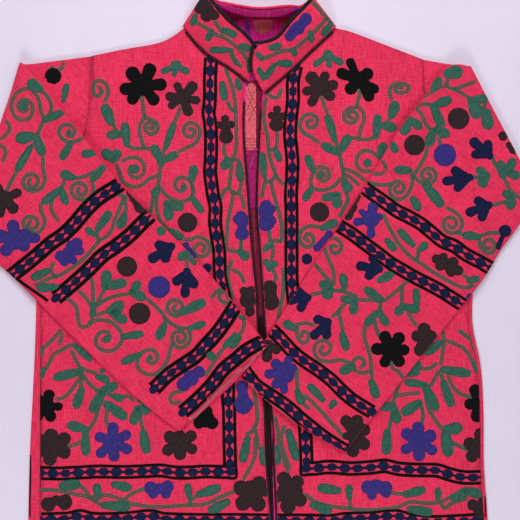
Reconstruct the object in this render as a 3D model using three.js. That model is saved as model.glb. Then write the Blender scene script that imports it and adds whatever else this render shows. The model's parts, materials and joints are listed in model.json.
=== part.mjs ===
// A suzani jacket laid on its back on a table, front up, with both sleeves folded across the fronts.
// Millimetres. +X to the right, +Y towards the collar, +Z up from the table. The origin is on the table,
// under the centre front, half way up the body. Left and right are those of someone looking at the front.
import * as THREE from "three";

// ---- Driving dimensions ----
const CLOTH = 1.6; // coarse cotton with its backing and embroidery
const COLLAR_CLOTH = 2.2; // the collar is stiffened
const LINING_CLOTH = 1.0;
const COLLAR_LINING_GAP = 0.9;
const SEAM = 0.3; // gap between pieces that are sewn together
const PLY_GAP = 1.6; // air between the two plies of a flattened sleeve, and of the body at its seams
const FOLD_RADIUS = 2.8; // of the middle of a sleeve where it turns back over itself
const LAY_GAP = 1; // air under cloth that lies on other cloth
const HEM_Y = -318;
const UNDERARM_Y = 50;
const SEAM_INSET = 5; // from the right side fold to the seam of the side strip
const LEFT_SEAM_X = -271; // seam of the left side strip, which shows on the front
const STRIP_UNDER = 14; // width of a side strip under the body
const EDGING_RADIUS = 1.3; // crocheted edging of the fronts, collar and neck
const EDGING_LIFT = 0.1; // the edging stands this far above the middle of the cloth
const COLLAR_EDGING_RADIUS = 2;
const COLLAR_FRONT = 3; // rows of the collar's table on each side that lie over the front
const PUFF = 2.2; // how far a front rises off its seams
const SLIT_PUFF = 0.55; // share of that rise left at the front edge
const HEM_PUFF = 0.35; // and at the hem
const SHOULDER_DROP = 1.3; // a front comes down this far to meet the back at the shoulder seam
// Shares of a front's width (u, from the side to the front edge) or length (v, from the hem), in which:
const PUFF_SIDE = 0.25; // it rises to its full puff
const PUFF_SLIT = 0.2; // it sinks again towards the slit
const PUFF_HEM = 0.12; // it rises from the hem
const PUFF_SHOULDER = 0.14; // it sinks towards the shoulder
const DROP_LENGTH = 0.07; // it comes down to the shoulder seam
const DROP_WIDTH = 0.12; // that drop fades out before the neck
const CREASE_SIDE = 0.12; // creases fade out at the side
const CREASE_SHOULDER = 0.05; // and at the shoulder
const CUFF_BOW = { left: { upper: -5, under: 4 }, right: { upper: 6, under: 4 } }; // of each ply's edge
const CUFF_GAPE = 1.6; // the upper ply of a cuff stands this much further off the under ply
const CUFF_SHARE = 0.14; // share of a sleeve over which its cuff opens
const CREASE_FOLD = 0.12; // share of a sleeve over which its creases grow from its fold
const SLEEVE_SEAM = SEAM + 0.1; // gap between a sleeve and its front
const ARMHOLE_CORNER = 1 / 3; // share of the armhole above its corner
const PIPING_SHY = 0.003; // share of the collar left bare at each end of the neck piping
const PIPING_STEPS = 14;
const FOOT_REACH = 0.3; // share of the collar's height that gives the way out from its foot
const TOP_REACH = 0.1; // and from its top edge
const END_REACH = 0.02; // share of its length that gives the way out from its front end
const END_STEP = 0.05; // share of its height that gives the line of that end
const END_HEIGHTS = [1, 0.9, 0.75, 0.6, 0.45]; // of the collar's edging down its right front end
const COLLAR_LINING_HEIGHTS = [0.06, 0.25, 0.5, 0.75, 0.92]; // shares of the collar's height

const HALF_TUBE = PLY_GAP / 2 + CLOTH; // half the thickness of a flattened sleeve
const FRONT_Z = CLOTH + PLY_GAP; // underside of a front at its seams
const LINING_Z = CLOTH + SEAM;

// ---- Tables. Each row is a point of an outline, a section, a fold or a crease ----
const SHOULDER = {
  left: { tip: { x: -207.5, y: 279 }, mid: { x: -211, y: 194 }, underarm: { x: LEFT_SEAM_X, y: UNDERARM_Y } },
  right: { tip: { x: 205, y: 275 }, mid: { x: 209, y: 190 }, underarm: { x: 268, y: UNDERARM_Y } },
};
// The shoulder seams, from the tip to the neck.
const SHOULDER_SEAM = {
  left: [
    { x: -207.5, y: 279 },
    { x: -180, y: 285 },
    { x: -153, y: 290 },
    { x: -127, y: 293.5 },
    { x: -109, y: 300.5 },
    { x: -90, y: 315 },
  ],
  right: [
    { x: 205, y: 275 },
    { x: 183, y: 283.5 },
    { x: 161, y: 292 },
    { x: 139, y: 300.5 },
    { x: 117, y: 309 },
    { x: 95, y: 315 },
  ],
};
// The fold down each side of the body.
const SIDE_FOLD = {
  left: [
    { y: -318, x: -287 },
    { y: -225, x: -285 },
    { y: -125, x: -280 },
    { y: -50, x: -277 },
    { y: 50, x: -276 },
  ],
  right: [
    { y: -318, x: 287 },
    { y: -275, x: 285 },
    { y: -240, x: 281.5 },
    { y: -177, x: 281.5 },
    { y: -122, x: 279.5 },
    { y: -97, x: 277 },
    { y: -80, x: 272 },
    { y: -57, x: 266.5 },
    { y: -22, x: 267.5 },
    { y: 50, x: 273 },
  ],
};
// The line of the edging down each front edge.
const FRONT_EDGE = {
  left: [
    { y: -318, x: 17.5 },
    { y: -284, x: 15.5 },
    { y: -225, x: 10.5 },
    { y: -150, x: 8 },
    { y: -62, x: 0 },
    { y: -25, x: -0.6 },
    { y: 37, x: -7 },
    { y: 112, x: -12.5 },
    { y: 187, x: -18 },
    { y: 249, x: -16 },
  ],
  right: [
    { y: -318, x: 23.5 },
    { y: -275, x: 22 },
    { y: -207, x: 18.5 },
    { y: -187, x: 19.4 },
    { y: -150, x: 15 },
    { y: -62, x: 8.7 },
    { y: -25, x: 6 },
    { y: 37, x: 2.5 },
    { y: 85, x: -1.9 },
    { y: 162, x: 0.6 },
    { y: 236, x: 5 },
  ],
};
// The neck edge of each front, from the shoulder seam down to the front edge.
const NECK_EDGE = {
  left: [
    { at: 0, x: -90, y: 315 },
    { at: 0.35, x: -63, y: 285.5 },
    { at: 0.75, x: -32, y: 266 },
    { at: 1, x: -17.8, y: 249 },
  ],
  right: [
    { at: 0, x: 95, y: 315 },
    { at: 0.35, x: 64, y: 288 },
    { at: 0.75, x: 34, y: 259.5 },
    { at: 1, x: 6.8, y: 236 },
  ],
};
// The back neck seam, left to right.
const BACK_NECK = [
  { x: -90, y: 315 },
  { x: -54, y: 326 },
  { x: 0, y: 331 },
  { x: 52, y: 327 },
  { x: 95, y: 315 },
];
// The part of the back lining that shows in the neck and between the fronts.
const LINING_ROWS = [
  { y: -317, left: -25, right: 62 },
  { y: -150, left: -34, right: 52 },
  { y: 0, left: -42, right: 42 },
  { y: 150, left: -48, right: 40 },
  { y: 250, left: -58, right: 60 },
  { y: 290, left: -76, right: 80 },
  { y: 310, left: -80, right: 84 },
  { y: 318, left: -62, right: 64 },
  { y: 325, left: -34, right: 34 },
];
// Each sleeve's plan from its fold to its cuff: a is the upper edge and b the lower edge.
const SLEEVE_ROWS = {
  left: [
    { ax: -295, ay: 270, bx: -364, by: 69 },
    { ax: -262, ay: 237, bx: -350, by: 40 },
    { ax: -222, ay: 186, bx: -315, by: 13 },
    { ax: -170, ay: 120, bx: -260, by: -40 },
    { ax: -112, ay: 62, bx: -205, by: -94 },
    { ax: -56, ay: 4, bx: -150, by: -146 },
    { ax: 12.5, ay: -80, bx: -97.5, by: -187 },
  ],
  right: [
    { ax: 264, ay: 267.5, bx: 341, by: 121 },
    { ax: 230, ay: 263, bx: 330, by: 76 },
    { ax: 206, ay: 229, bx: 302, by: 38 },
    { ax: 168, ay: 178, bx: 282, by: 4 },
    { ax: 131, ay: 115, bx: 243, by: -44 },
    { ax: 91, ay: 54, bx: 197, by: -101 },
    { ax: 42, ay: -21, bx: 151, by: -159 },
    { ax: -21, ay: -121, bx: 108, by: -213 },
  ],
};
// The collar's inner face, from the left front end round the back of the neck to the right front end:
// b is on the neck seam, t on the top edge, bow how far the middle stands out, and bulge how far to the left.
const COLLAR_ROWS = [
  { bx: -11, by: 246.5, bz: 5.5, tx: -3, ty: 284, tz: 12, bow: 1, bulge: 0 },
  { bx: -33.5, by: 264.5, bz: 5.5, tx: -18, ty: 301, tz: 19, bow: 2, bulge: 0 },
  { bx: -64.5, by: 284, bz: 5.5, tx: -38, ty: 317, tz: 24, bow: 2, bulge: 0 },
  { bx: -88, by: 310, bz: 6.3, tx: -61.5, ty: 344.5, tz: 22, bow: 1, bulge: 0 },
  { bx: -92, by: 314.5, bz: 5.4, tx: -65, ty: 352, tz: 16, bow: 0, bulge: 0 },
  { bx: -84.5, by: 316, bz: 4.2, tx: -60, ty: 352, tz: 11, bow: 0, bulge: 0 },
  { bx: -65, by: 321.5, bz: 4.3, tx: -50, ty: 344, tz: 18, bow: 0, bulge: 0 },
  { bx: -43, by: 327, bz: 2.7, tx: -35, ty: 333.5, tz: 36, bow: 1, bulge: 0 },
  { bx: 0, by: 329, bz: 2.2, tx: 0, ty: 325, tz: 44, bow: 2, bulge: 0 },
  { bx: 43, by: 327, bz: 2.7, tx: 36, ty: 330.5, tz: 37, bow: 1, bulge: 0 },
  { bx: 66, by: 321.5, bz: 4.3, tx: 52, ty: 336.5, tz: 19, bow: 0, bulge: 0 },
  { bx: 88, by: 316, bz: 4.2, tx: 64, ty: 347.5, tz: 11, bow: 0, bulge: 0 },
  { bx: 95.5, by: 314.5, bz: 5.4, tx: 68, ty: 346, tz: 16, bow: 0, bulge: 0 },
  { bx: 91, by: 310, bz: 6.3, tx: 63, ty: 338, tz: 22, bow: 1, bulge: 0 },
  { bx: 65.5, by: 286.5, bz: 5.5, tx: 42, ty: 316.5, tz: 24, bow: 2, bulge: 0 },
  { bx: 35.5, by: 258, bz: 5.5, tx: 23.5, ty: 294.5, tz: 24, bow: 2, bulge: 2 },
  { bx: 7, by: 233.5, bz: 5.5, tx: -3, ty: 287, tz: 20, bow: 2, bulge: 9 },
];
const COLLAR_BACK = { from: 6, to: 10 }; // rows of the collar between which its lining shows
// Soft creases: a ridge from one end to the other, its half width and its height.
const CREASES = {
  left: [
    { x0: -196, y0: 258, x1: -112, y1: 284, width: 11, height: 2.4 },
    { x0: -198, y0: 224, x1: -150, y1: 250, width: 12, height: 2 },
    { x0: -150, y0: -318, x1: -176, y1: -214, width: 20, height: 1.8 },
    { x0: -62, y0: -318, x1: -74, y1: -250, width: 18, height: 1.5 },
  ],
  right: [
    { x0: 196, y0: 250, x1: 110, y1: 288, width: 12, height: 2.6 },
    { x0: 198, y0: 214, x1: 138, y1: 262, width: 12, height: 2.2 },
    { x0: 170, y0: -318, x1: 190, y1: -200, width: 20, height: 2 },
    { x0: 246, y0: -290, x1: 262, y1: -120, width: 16, height: 1.6 },
  ],
  sleeveLeft: [
    { x0: -292, y0: 180, x1: -232, y1: 128, width: 16, height: 2.6 },
    { x0: -330, y0: 108, x1: -268, y1: 62, width: 18, height: 2.2 },
    { x0: -120, y0: -40, x1: -66, y1: -92, width: 15, height: 1.4 },
  ],
  sleeveRight: [
    { x0: 296, y0: 196, x1: 238, y1: 150, width: 16, height: 2.6 },
    { x0: 306, y0: 122, x1: 262, y1: 66, width: 18, height: 2.4 },
    { x0: 120, y0: -60, x1: 78, y1: -108, width: 15, height: 1.4 },
  ],
};

// ---- Grid sizes ----
const FRONT_ROWS = { side: 13, lower: 5, upper: 3 }; // hem to underarm, to mid armhole, to shoulder tip
const FRONT_COLUMNS = { shoulder: 5, neck: 5 };
const ARMHOLE_STEPS = { upper: 3, lower: 6 };
const SLEEVE_STEPS = { under: 3, fold: 4, over: 17 };
const TUBE_TURN_STEPS = 3; // points round each folded edge of a sleeve, less its two ends
const COLLAR_STEPS = { round: 48, up: 4 };
const STRIP_TURN_STEPS = 4;
const EDGING_SIDES = 6;
const LINING_STEPS = { along: 20, across: 4 };
const NECK_STEPS = 8;
const SECTION_STEP = 0.002; // share of the collar's length that gives its direction

// ---- Small functions ----
const mix = (a, b, t) => a + (b - a) * t;
const smooth = (t) => THREE.MathUtils.smoothstep(t, 0, 1);
const point = (x, y, z = 0) => new THREE.Vector3(x, y, z);
const stepped = (count, f) => Array.from({ length: count + 1 }, (_, i) => f(i / count, i));

// Reads a table at t: every column, on straight lines or on a smooth curve through its rows. The rows lie
// at the values of the key column, or evenly from 0 to 1 without one.
function reader(rows, key = null, curved = true) {
  const at = rows.map((row, i) => (key ? row[key] : i / (rows.length - 1)));
  const columns = Object.keys(rows[0]);
  const slope = (column, i) => {
    const [before, after] = [Math.max(0, i - 1), Math.min(rows.length - 1, i + 1)];
    return (rows[after][column] - rows[before][column]) / (at[after] - at[before]);
  };
  return (t) => {
    let i = at.findIndex((value, k) => k > 0 && t <= value) - 1;
    if (i < 0) i = t <= at[0] ? 0 : rows.length - 2;
    const span = at[i + 1] - at[i];
    const s = THREE.MathUtils.clamp((t - at[i]) / span, 0, 1);
    const read = {};
    for (const column of columns) {
      const [from, to] = [rows[i][column], rows[i + 1][column]];
      const line = mix(from, to, s);
      const [leave, arrive] = [i, i + 1].map((k) => slope(column, k) * span - (to - from));
      const ease = (1 - s) * leave - s * arrive;
      read[column] = curved ? line + s * (1 - s) * ease : line;
    }
    return read;
  };
}

// The height that a set of creases adds at a point.
function creased(rows, x, y) {
  let height = 0;
  for (const row of rows) {
    const [dx, dy] = [row.x1 - row.x0, row.y1 - row.y0];
    const along = THREE.MathUtils.clamp(((x - row.x0) * dx + (y - row.y0) * dy) / (dx * dx + dy * dy), 0, 1);
    const away = Math.hypot(x - row.x0 - along * dx, y - row.y0 - along * dy);
    height += row.height * Math.exp(-((away / row.width) ** 2));
  }
  return height;
}

// A cloth wall between two grids of points, inner[i][j] and outer[i][j]. When wrapped, j goes round a tube.
function wall(inner, outer, wrapped = false) {
  const [rows, columns] = [inner.length, inner[0].length];
  const vertices = [...inner.flat(), ...outer.flat()];
  const index = (layer, i, j) => layer * rows * columns + i * columns + (j % columns);
  const triangles = [];
  const quad = (a, b, c, d) => triangles.push(a, b, c, a, c, d);
  const spans = wrapped ? columns : columns - 1;
  for (let i = 0; i < rows - 1; i++)
    for (let j = 0; j < spans; j++) {
      quad(index(1, i, j), index(1, i, j + 1), index(1, i + 1, j + 1), index(1, i + 1, j));
      quad(index(0, i, j), index(0, i + 1, j), index(0, i + 1, j + 1), index(0, i, j + 1));
    }
  for (let j = 0; j < spans; j++) {
    const end = rows - 1;
    quad(index(0, 0, j), index(0, 0, j + 1), index(1, 0, j + 1), index(1, 0, j));
    quad(index(1, end, j), index(1, end, j + 1), index(0, end, j + 1), index(0, end, j));
  }
  if (!wrapped)
    for (let i = 0; i < rows - 1; i++) {
      const side = columns - 1;
      quad(index(1, i, 0), index(1, i + 1, 0), index(0, i + 1, 0), index(0, i, 0));
      quad(index(0, i, side), index(0, i + 1, side), index(1, i + 1, side), index(1, i, side));
    }
  return facingOut(vertices, triangles);
}

// A geometry with its triangles turned so that the solid's volume is positive.
function facingOut(vertices, triangles) {
  let volume = 0;
  for (let k = 0; k < triangles.length; k += 3) {
    const [a, b, c] = [0, 1, 2].map((n) => vertices[triangles[k + n]]);
    volume += a.dot(point(0, 0).crossVectors(b, c));
  }
  const geometry = new THREE.BufferGeometry().setFromPoints(vertices);
  geometry.setIndex(volume < 0 ? triangles.toReversed() : triangles);
  geometry.computeVertexNormals();
  return geometry;
}

// A patch between four edges, each a function of 0 to 1: bottom and top from left to right, sides upwards.
function patch(bottom, top, left, right) {
  const [b0, b1, t0, t1] = [bottom(0), bottom(1), top(0), top(1)];
  return (u, v) => {
    const [b, t, l, r] = [bottom(u), top(u), left(v), right(v)];
    const coordinate = (k) =>
      mix(b[k], t[k], v) + mix(l[k], r[k], u) - mix(mix(b0[k], b1[k], u), mix(t0[k], t1[k], u), v);
    return { x: coordinate("x"), y: coordinate("y") };
  };
}

// ---- What lies under each piece ----
const CELL = 5;
const SPAN = { x: 400, y: 400 };
const ACROSS = (2 * SPAN.x) / CELL + 1;
const DOWN = (2 * SPAN.y) / CELL + 1;
const REACH = 2; // cells round a high spot that count as high
const BRIDGE_SLOPE = 0.16; // cloth comes down this steeply from an edge that it lies over
const BLUR_PASSES = 2;
const UPRIGHT = 1e-6; // a triangle whose plan is smaller than this stands upright

// A map of the highest cloth so far. bridged() gives the surface that the next piece lies on.
class Pile {
  constructor() {
    this.top = new Float32Array(ACROSS * DOWN);
  }
  add(geometry) {
    const place = geometry.getAttribute("position");
    const order = geometry.index.array;
    const corner = (k) => point(0, 0).fromBufferAttribute(place, order[k]);
    for (let k = 0; k < order.length; k += 3) this.addTriangle([corner(k), corner(k + 1), corner(k + 2)]);
  }
  addTriangle([a, b, c]) {
    const area = (b.x - a.x) * (c.y - a.y) - (c.x - a.x) * (b.y - a.y);
    if (Math.abs(area) < UPRIGHT) return;
    const column = (x) => (x + SPAN.x) / CELL;
    const row = (y) => (y + SPAN.y) / CELL;
    for (let j = Math.ceil(row(Math.min(a.y, b.y, c.y))); j <= row(Math.max(a.y, b.y, c.y)); j++)
      for (let i = Math.ceil(column(Math.min(a.x, b.x, c.x))); i <= column(Math.max(a.x, b.x, c.x)); i++) {
        const [x, y] = [i * CELL - SPAN.x, j * CELL - SPAN.y];
        const s = ((x - a.x) * (c.y - a.y) - (c.x - a.x) * (y - a.y)) / area;
        const t = ((b.x - a.x) * (y - a.y) - (x - a.x) * (b.y - a.y)) / area;
        if (s < 0 || t < 0 || s + t > 1) continue;
        const z = a.z + s * (b.z - a.z) + t * (c.z - a.z);
        this.top[j * ACROSS + i] = Math.max(this.top[j * ACROSS + i], z);
      }
  }
  // Each cell of a map from its neighbours: pick gets the old map, the cell and the offsets that lie in it.
  static each(map, reach, pick) {
    const made = new Float32Array(map.length);
    const inside = (k, count) => k >= 0 && k < count;
    for (let j = 0; j < DOWN; j++)
      for (let i = 0; i < ACROSS; i++) {
        const near = [];
        for (let q = -reach; q <= reach; q++)
          for (let p = -reach; p <= reach; p++)
            if (p * p + q * q <= reach * reach + 1 && inside(i + p, ACROSS) && inside(j + q, DOWN))
              near.push({ z: map[(j + q) * ACROSS + i + p], away: CELL * Math.hypot(p, q) });
        made[j * ACROSS + i] = pick(near);
      }
    return made;
  }
  bridged() {
    let map = Pile.each(this.top, REACH, (near) => Math.max(...near.map((n) => n.z)));
    const highest = Math.max(...this.top);
    for (let run = 0; run < highest / (BRIDGE_SLOPE * CELL * REACH) + 1; run++)
      map = Pile.each(map, REACH, (near) => Math.max(...near.map((n) => n.z - BRIDGE_SLOPE * n.away)));
    for (let run = 0; run < BLUR_PASSES; run++)
      map = Pile.each(map, 1, (near) => near.reduce((sum, n) => sum + n.z, 0) / near.length);
    return (x, y) => {
      const [fx, fy] = [(x + SPAN.x) / CELL, (y + SPAN.y) / CELL];
      const [i, j] = [Math.floor(fx), Math.floor(fy)];
      const at = (p, q) => map[q * ACROSS + p];
      return mix(mix(at(i, j), at(i + 1, j), fx - i), mix(at(i, j + 1), at(i + 1, j + 1), fx - i), fy - j);
    };
  }
}

// ---- The pieces ----
const jacket = new THREE.Group();
const CLOTH_RED = new THREE.Color(0.86, 0.13, 0.24);
const LINING_PINK = new THREE.Color(0.72, 0.08, 0.36);
const EDGING_BLACK = new THREE.Color(0.03, 0.015, 0.025);

function sew(name, geometry, color, roughness = 0.9) {
  const mesh = new THREE.Mesh(geometry, new THREE.MeshStandardMaterial({ color, roughness, metalness: 0 }));
  mesh.name = name;
  jacket.add(mesh);
  return geometry;
}

// The front's boundary along the side and armhole: v of each row, so that the grid keeps the corners.
function sideLine(side, seamX) {
  const { tip, mid, underarm } = SHOULDER[side];
  const total = FRONT_ROWS.side + FRONT_ROWS.lower + FRONT_ROWS.upper;
  const under = FRONT_ROWS.side / total;
  const half = (FRONT_ROWS.side + FRONT_ROWS.lower) / total;
  return (v) => {
    if (v <= under) {
      const y = mix(HEM_Y, UNDERARM_Y, v / under);
      return { x: seamX(y), y };
    }
    const low = v <= half;
    const [from, to] = low ? [underarm, mid] : [mid, tip];
    const t = low ? (v - under) / (half - under) : (v - half) / (1 - half);
    return { x: mix(from.x, to.x, t), y: mix(from.y, to.y, t) };
  };
}

// A front: its edges, its grid of points with their heights, and its solid.
function front(side) {
  const out = side === "left" ? -1 : 1;
  const fold = reader(SIDE_FOLD[side], "y");
  const seamX = side === "left" ? () => LEFT_SEAM_X : (y) => fold(y).x - SEAM_INSET;
  const edging = reader(FRONT_EDGE[side], "y");
  const neck = reader(NECK_EDGE[side], "at");
  const shoulder = reader(SHOULDER_SEAM[side], null, false);
  const top = (u) => (u < 0.5 ? shoulder(2 * u) : neck(2 * u - 1));
  const corner = top(1);
  const edge = (v) => {
    const y = mix(HEM_Y, corner.y, v);
    return { x: edging(y).x + out * (EDGING_RADIUS + SEAM), y };
  };
  const seam = sideLine(side, seamX);
  const hem = (u) => ({ x: mix(seam(0).x, edge(0).x, u), y: HEM_Y });
  const plan = patch(hem, top, seam, edge);
  const rows = FRONT_ROWS.side + FRONT_ROWS.lower + FRONT_ROWS.upper;
  const columns = FRONT_COLUMNS.shoulder + FRONT_COLUMNS.neck;
  const under = stepped(rows, (v) =>
    stepped(columns, (u) => {
      const { x, y } = plan(u, v);
      const rise = smooth(u / PUFF_SIDE) * mix(1, SLIT_PUFF, smooth((u - 1) / PUFF_SLIT + 1));
      const reach = mix(HEM_PUFF, 1, smooth(v / PUFF_HEM)) * smooth((1 - v) / PUFF_SHOULDER);
      const drop = SHOULDER_DROP * smooth((v - 1) / DROP_LENGTH + 1) * smooth((0.5 - u) / DROP_WIDTH);
      const fade = smooth(u / CREASE_SIDE) * smooth((1 - v) / CREASE_SHOULDER);
      const crease = creased(CREASES[side], x, y) * fade;
      return point(x, y, FRONT_Z + PUFF * rise * reach - drop + crease);
    }),
  );
  const upper = under.map((row) => row.map((p) => point(p.x, p.y, p.z + CLOTH)));
  return { under, solid: wall(under, upper), out };
}

// A side strip: flat under the body, round the side fold, and level with the front up to its seam.
function sideStrip(side, frontGrid) {
  const out = side === "left" ? -1 : 1;
  const fold = reader(SIDE_FOLD[side], "y");
  const rows = frontGrid.slice(0, FRONT_ROWS.side + 1).map((row) => row[0]);
  const last = rows.length - 1;
  const section = (inward, radius) =>
    rows.map((seam, i) => {
      const y = i === last ? seam.y - SEAM : seam.y;
      const foldX = fold(y).x - out * HALF_TUBE;
      const turn = stepped(STRIP_TURN_STEPS, (t) =>
        point(foldX + out * radius * Math.sin(Math.PI * t), y, HALF_TUBE - radius * Math.cos(Math.PI * t)),
      );
      const start = point(fold(y).x - out * STRIP_UNDER, y, HALF_TUBE - radius);
      const end = point(seam.x + out * inward, y, HALF_TUBE + radius);
      return [start, ...turn, end];
    });
  return wall(section(SEAM, PLY_GAP / 2), section(SEAM, HALF_TUBE));
}

// The back, cut to the side strips, the armholes, the shoulders and the back neck.
function back() {
  const inner = { left: reader(SIDE_FOLD.left, "y"), right: reader(SIDE_FOLD.right, "y") };
  const sideX = (side, y) => inner[side](y).x - (side === "left" ? -1 : 1) * (STRIP_UNDER + SEAM);
  const rise = stepped(FRONT_ROWS.side, (t) => mix(HEM_Y, UNDERARM_Y, t));
  const neck = reader(BACK_NECK);
  const { left, right } = SHOULDER;
  const outline = [
    ...rise.map((y) => ({ x: sideX("right", y), y })),
    right.underarm,
    right.mid,
    ...SHOULDER_SEAM.right.slice(0, -1),
    ...stepped(NECK_STEPS, (t) => neck(1 - t)),
    ...SHOULDER_SEAM.left.slice(0, -1).toReversed(),
    left.mid,
    left.underarm,
    ...rise.toReversed().map((y) => ({ x: sideX("left", y), y })),
  ];
  const shape = new THREE.Shape(outline.map(({ x, y }) => new THREE.Vector2(x, y)));
  return new THREE.ExtrudeGeometry(shape, { depth: CLOTH, bevelEnabled: false });
}

function backLining() {
  const across = reader(LINING_ROWS, "y", false);
  const [first, last] = [LINING_ROWS[0].y, LINING_ROWS.at(-1).y];
  const under = stepped(LINING_STEPS.along, (t) => {
    const row = across(mix(first, last, t));
    return stepped(LINING_STEPS.across, (u) => point(mix(row.left, row.right, u), row.y, LINING_Z));
  });
  return wall(under, under.map((row) => row.map((p) => point(p.x, p.y, p.z + LINING_CLOTH))));
}

// One ring of a sleeve: mid(s) is the middle of the flattened tube from its upper to its lower edge,
// up the way its first ply faces, ways the unit vectors along it at its upper and lower edges.
function ring({ mid, up, ways, axis, mouth }, half, steps) {
  const ply = (s, sign) => {
    const lift = sign < 0 ? mouth.gape * Math.sin(Math.PI * s) : 0;
    const reach = (sign > 0 ? mouth.under : mouth.upper) * Math.sin(Math.PI * s);
    return mid(s).addScaledVector(up, sign * half - lift).addScaledVector(axis, reach);
  };
  const onTurn = (s, sign, angle) =>
    mid(s)
      .addScaledVector(ways[s], sign * half * Math.sin(angle))
      .addScaledVector(up, sign * half * Math.cos(angle));
  const turn = (s, sign) => stepped(TUBE_TURN_STEPS + 1, (t) => onTurn(s, sign, Math.PI * t)).slice(1, -1);
  return [
    ...steps.map((s) => ply(s, 1)),
    ...turn(1, 1),
    ...steps.toReversed().map((s) => ply(s, -1)),
    ...turn(0, -1),
  ];
}

const UP = point(0, 0, 1);

// A sleeve: out from the armhole on the table, round its fold, and back over the fronts to the cuff.
function sleeve(side) {
  const out = side === "left" ? -1 : 1;
  const { tip, mid, underarm } = SHOULDER[side];
  const rows = SLEEVE_ROWS[side];
  const section = reader(rows);
  const seamGap = point(out * SLEEVE_SEAM, 0);
  const steps = [
    ...stepped(ARMHOLE_STEPS.upper, (t) => mix(0, ARMHOLE_CORNER, t)),
    ...stepped(ARMHOLE_STEPS.lower, (t) => mix(ARMHOLE_CORNER, 1, t)).slice(1),
  ];
  const vector = ({ x, y }) => point(x, y, HALF_TUBE);
  const [tipV, midV, underV] = [tip, mid, underarm].map(vector);
  const upperWay = midV.clone().sub(tipV).normalize();
  const lowerWay = underV.clone().sub(midV).normalize();
  const armhole = (s) => {
    const above = s <= ARMHOLE_CORNER;
    const from = above ? tipV.clone().addScaledVector(upperWay, HALF_TUBE) : midV.clone();
    const to = above ? midV : underV.clone().addScaledVector(lowerWay, -HALF_TUBE);
    const t = above ? s / ARMHOLE_CORNER : (s - ARMHOLE_CORNER) / (1 - ARMHOLE_CORNER);
    return from.lerp(to, t).add(seamGap);
  };
  const foldA = point(rows[0].ax, rows[0].ay, HALF_TUBE);
  const foldB = point(rows[0].bx, rows[0].by, HALF_TUBE);
  const foldWay = foldB.clone().sub(foldA).normalize();
  const outward = point(0, 0).crossVectors(UP, foldWay);
  if (outward.x * out < 0) outward.negate();
  const folded = (s) =>
    foldA
      .clone()
      .addScaledVector(foldWay, HALF_TUBE)
      .lerp(foldB.clone().addScaledVector(foldWay, -HALF_TUBE), s)
      .addScaledVector(outward, -(FOLD_RADIUS + HALF_TUBE));
  const none = { gape: 0, upper: 0, under: 0 };
  const underRings = stepped(SLEEVE_STEPS.under, (t) => ({
    mid: (s) => armhole(s).lerp(folded(s), t),
    up: UP,
    ways: [upperWay, lowerWay].map((way) => way.clone().lerp(foldWay, t).normalize()),
    axis: outward,
    mouth: none,
  })).slice(0, -1);
  const foldRings = stepped(SLEEVE_STEPS.fold, (t) => {
    const angle = Math.PI * t;
    return {
      mid: (s) =>
        folded(s)
          .addScaledVector(outward, FOLD_RADIUS * Math.sin(angle))
          .addScaledVector(UP, FOLD_RADIUS * (1 - Math.cos(angle))),
      up: UP.clone().multiplyScalar(Math.cos(angle)).addScaledVector(outward, -Math.sin(angle)),
      ways: [foldWay, foldWay],
      axis: outward,
      mouth: none,
    };
  });
  const solidOf = (rings) => {
    const grid = (half) => rings.map((r) => ring(r, half, steps));
    return wall(grid(PLY_GAP / 2), grid(HALF_TUBE), true);
  };
  pile.add(solidOf([...underRings, foldRings[0]]));
  const rest = pile.bridged();
  const creases = CREASES[side === "left" ? "sleeveLeft" : "sleeveRight"];
  const overRings = stepped(SLEEVE_STEPS.over, (t) => {
    const row = section(t);
    const [a, b] = [point(row.ax, row.ay), point(row.bx, row.by)];
    const along = b.clone().sub(a).normalize();
    const axis = point(0, 0).crossVectors(UP, along).multiplyScalar(-out);
    const open = smooth((t - 1) / CUFF_SHARE + 1);
    const bow = CUFF_BOW[side];
    return {
      mid: (s) => {
        const upperEnd = a.clone().addScaledVector(along, HALF_TUBE);
        const p = upperEnd.lerp(b.clone().addScaledVector(along, -HALF_TUBE), s);
        const fade = smooth(t / CREASE_FOLD) * Math.sqrt(Math.sin(Math.PI * s));
        const crease = creased(creases, p.x, p.y) * fade;
        return p.setZ(rest(p.x, p.y) + LAY_GAP + HALF_TUBE + crease);
      },
      up: UP.clone().negate(),
      ways: [along, along],
      axis,
      mouth: { gape: CUFF_GAPE * open, upper: bow.upper * open, under: bow.under * open },
    };
  }).slice(1);
  pile.add(solidOf(overRings));
  return solidOf([...underRings, ...foldRings, ...overRings]);
}

// The collar: its inner face from the table of sections, moved out by the cloth for its outer face.
const collarSection = reader(COLLAR_ROWS);
function collarFace(t, up, out = 0) {
  const at = (tt, w) => {
    const row = collarSection(THREE.MathUtils.clamp(tt, 0, 1));
    const bulge = row.bulge * Math.sin(Math.PI * w);
    return point(row.bx, row.by, row.bz).lerp(point(row.tx, row.ty, row.tz), w).sub(point(bulge, 0));
  };
  const round = at(t + SECTION_STEP, 0.5).sub(at(t - SECTION_STEP, 0.5));
  const rise = at(t, 1).sub(at(t, 0));
  const normal = point(0, 0).crossVectors(rise, round).normalize();
  return at(t, up).addScaledVector(normal, collarSection(t).bow * Math.sin(Math.PI * up) + out);
}

function collar() {
  const column = (t, out) => stepped(COLLAR_STEPS.up, (w) => collarFace(t, w, out));
  const grid = (out) => stepped(COLLAR_STEPS.round, (t) => column(t, out));
  return wall(grid(0), grid(COLLAR_CLOTH));
}

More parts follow.
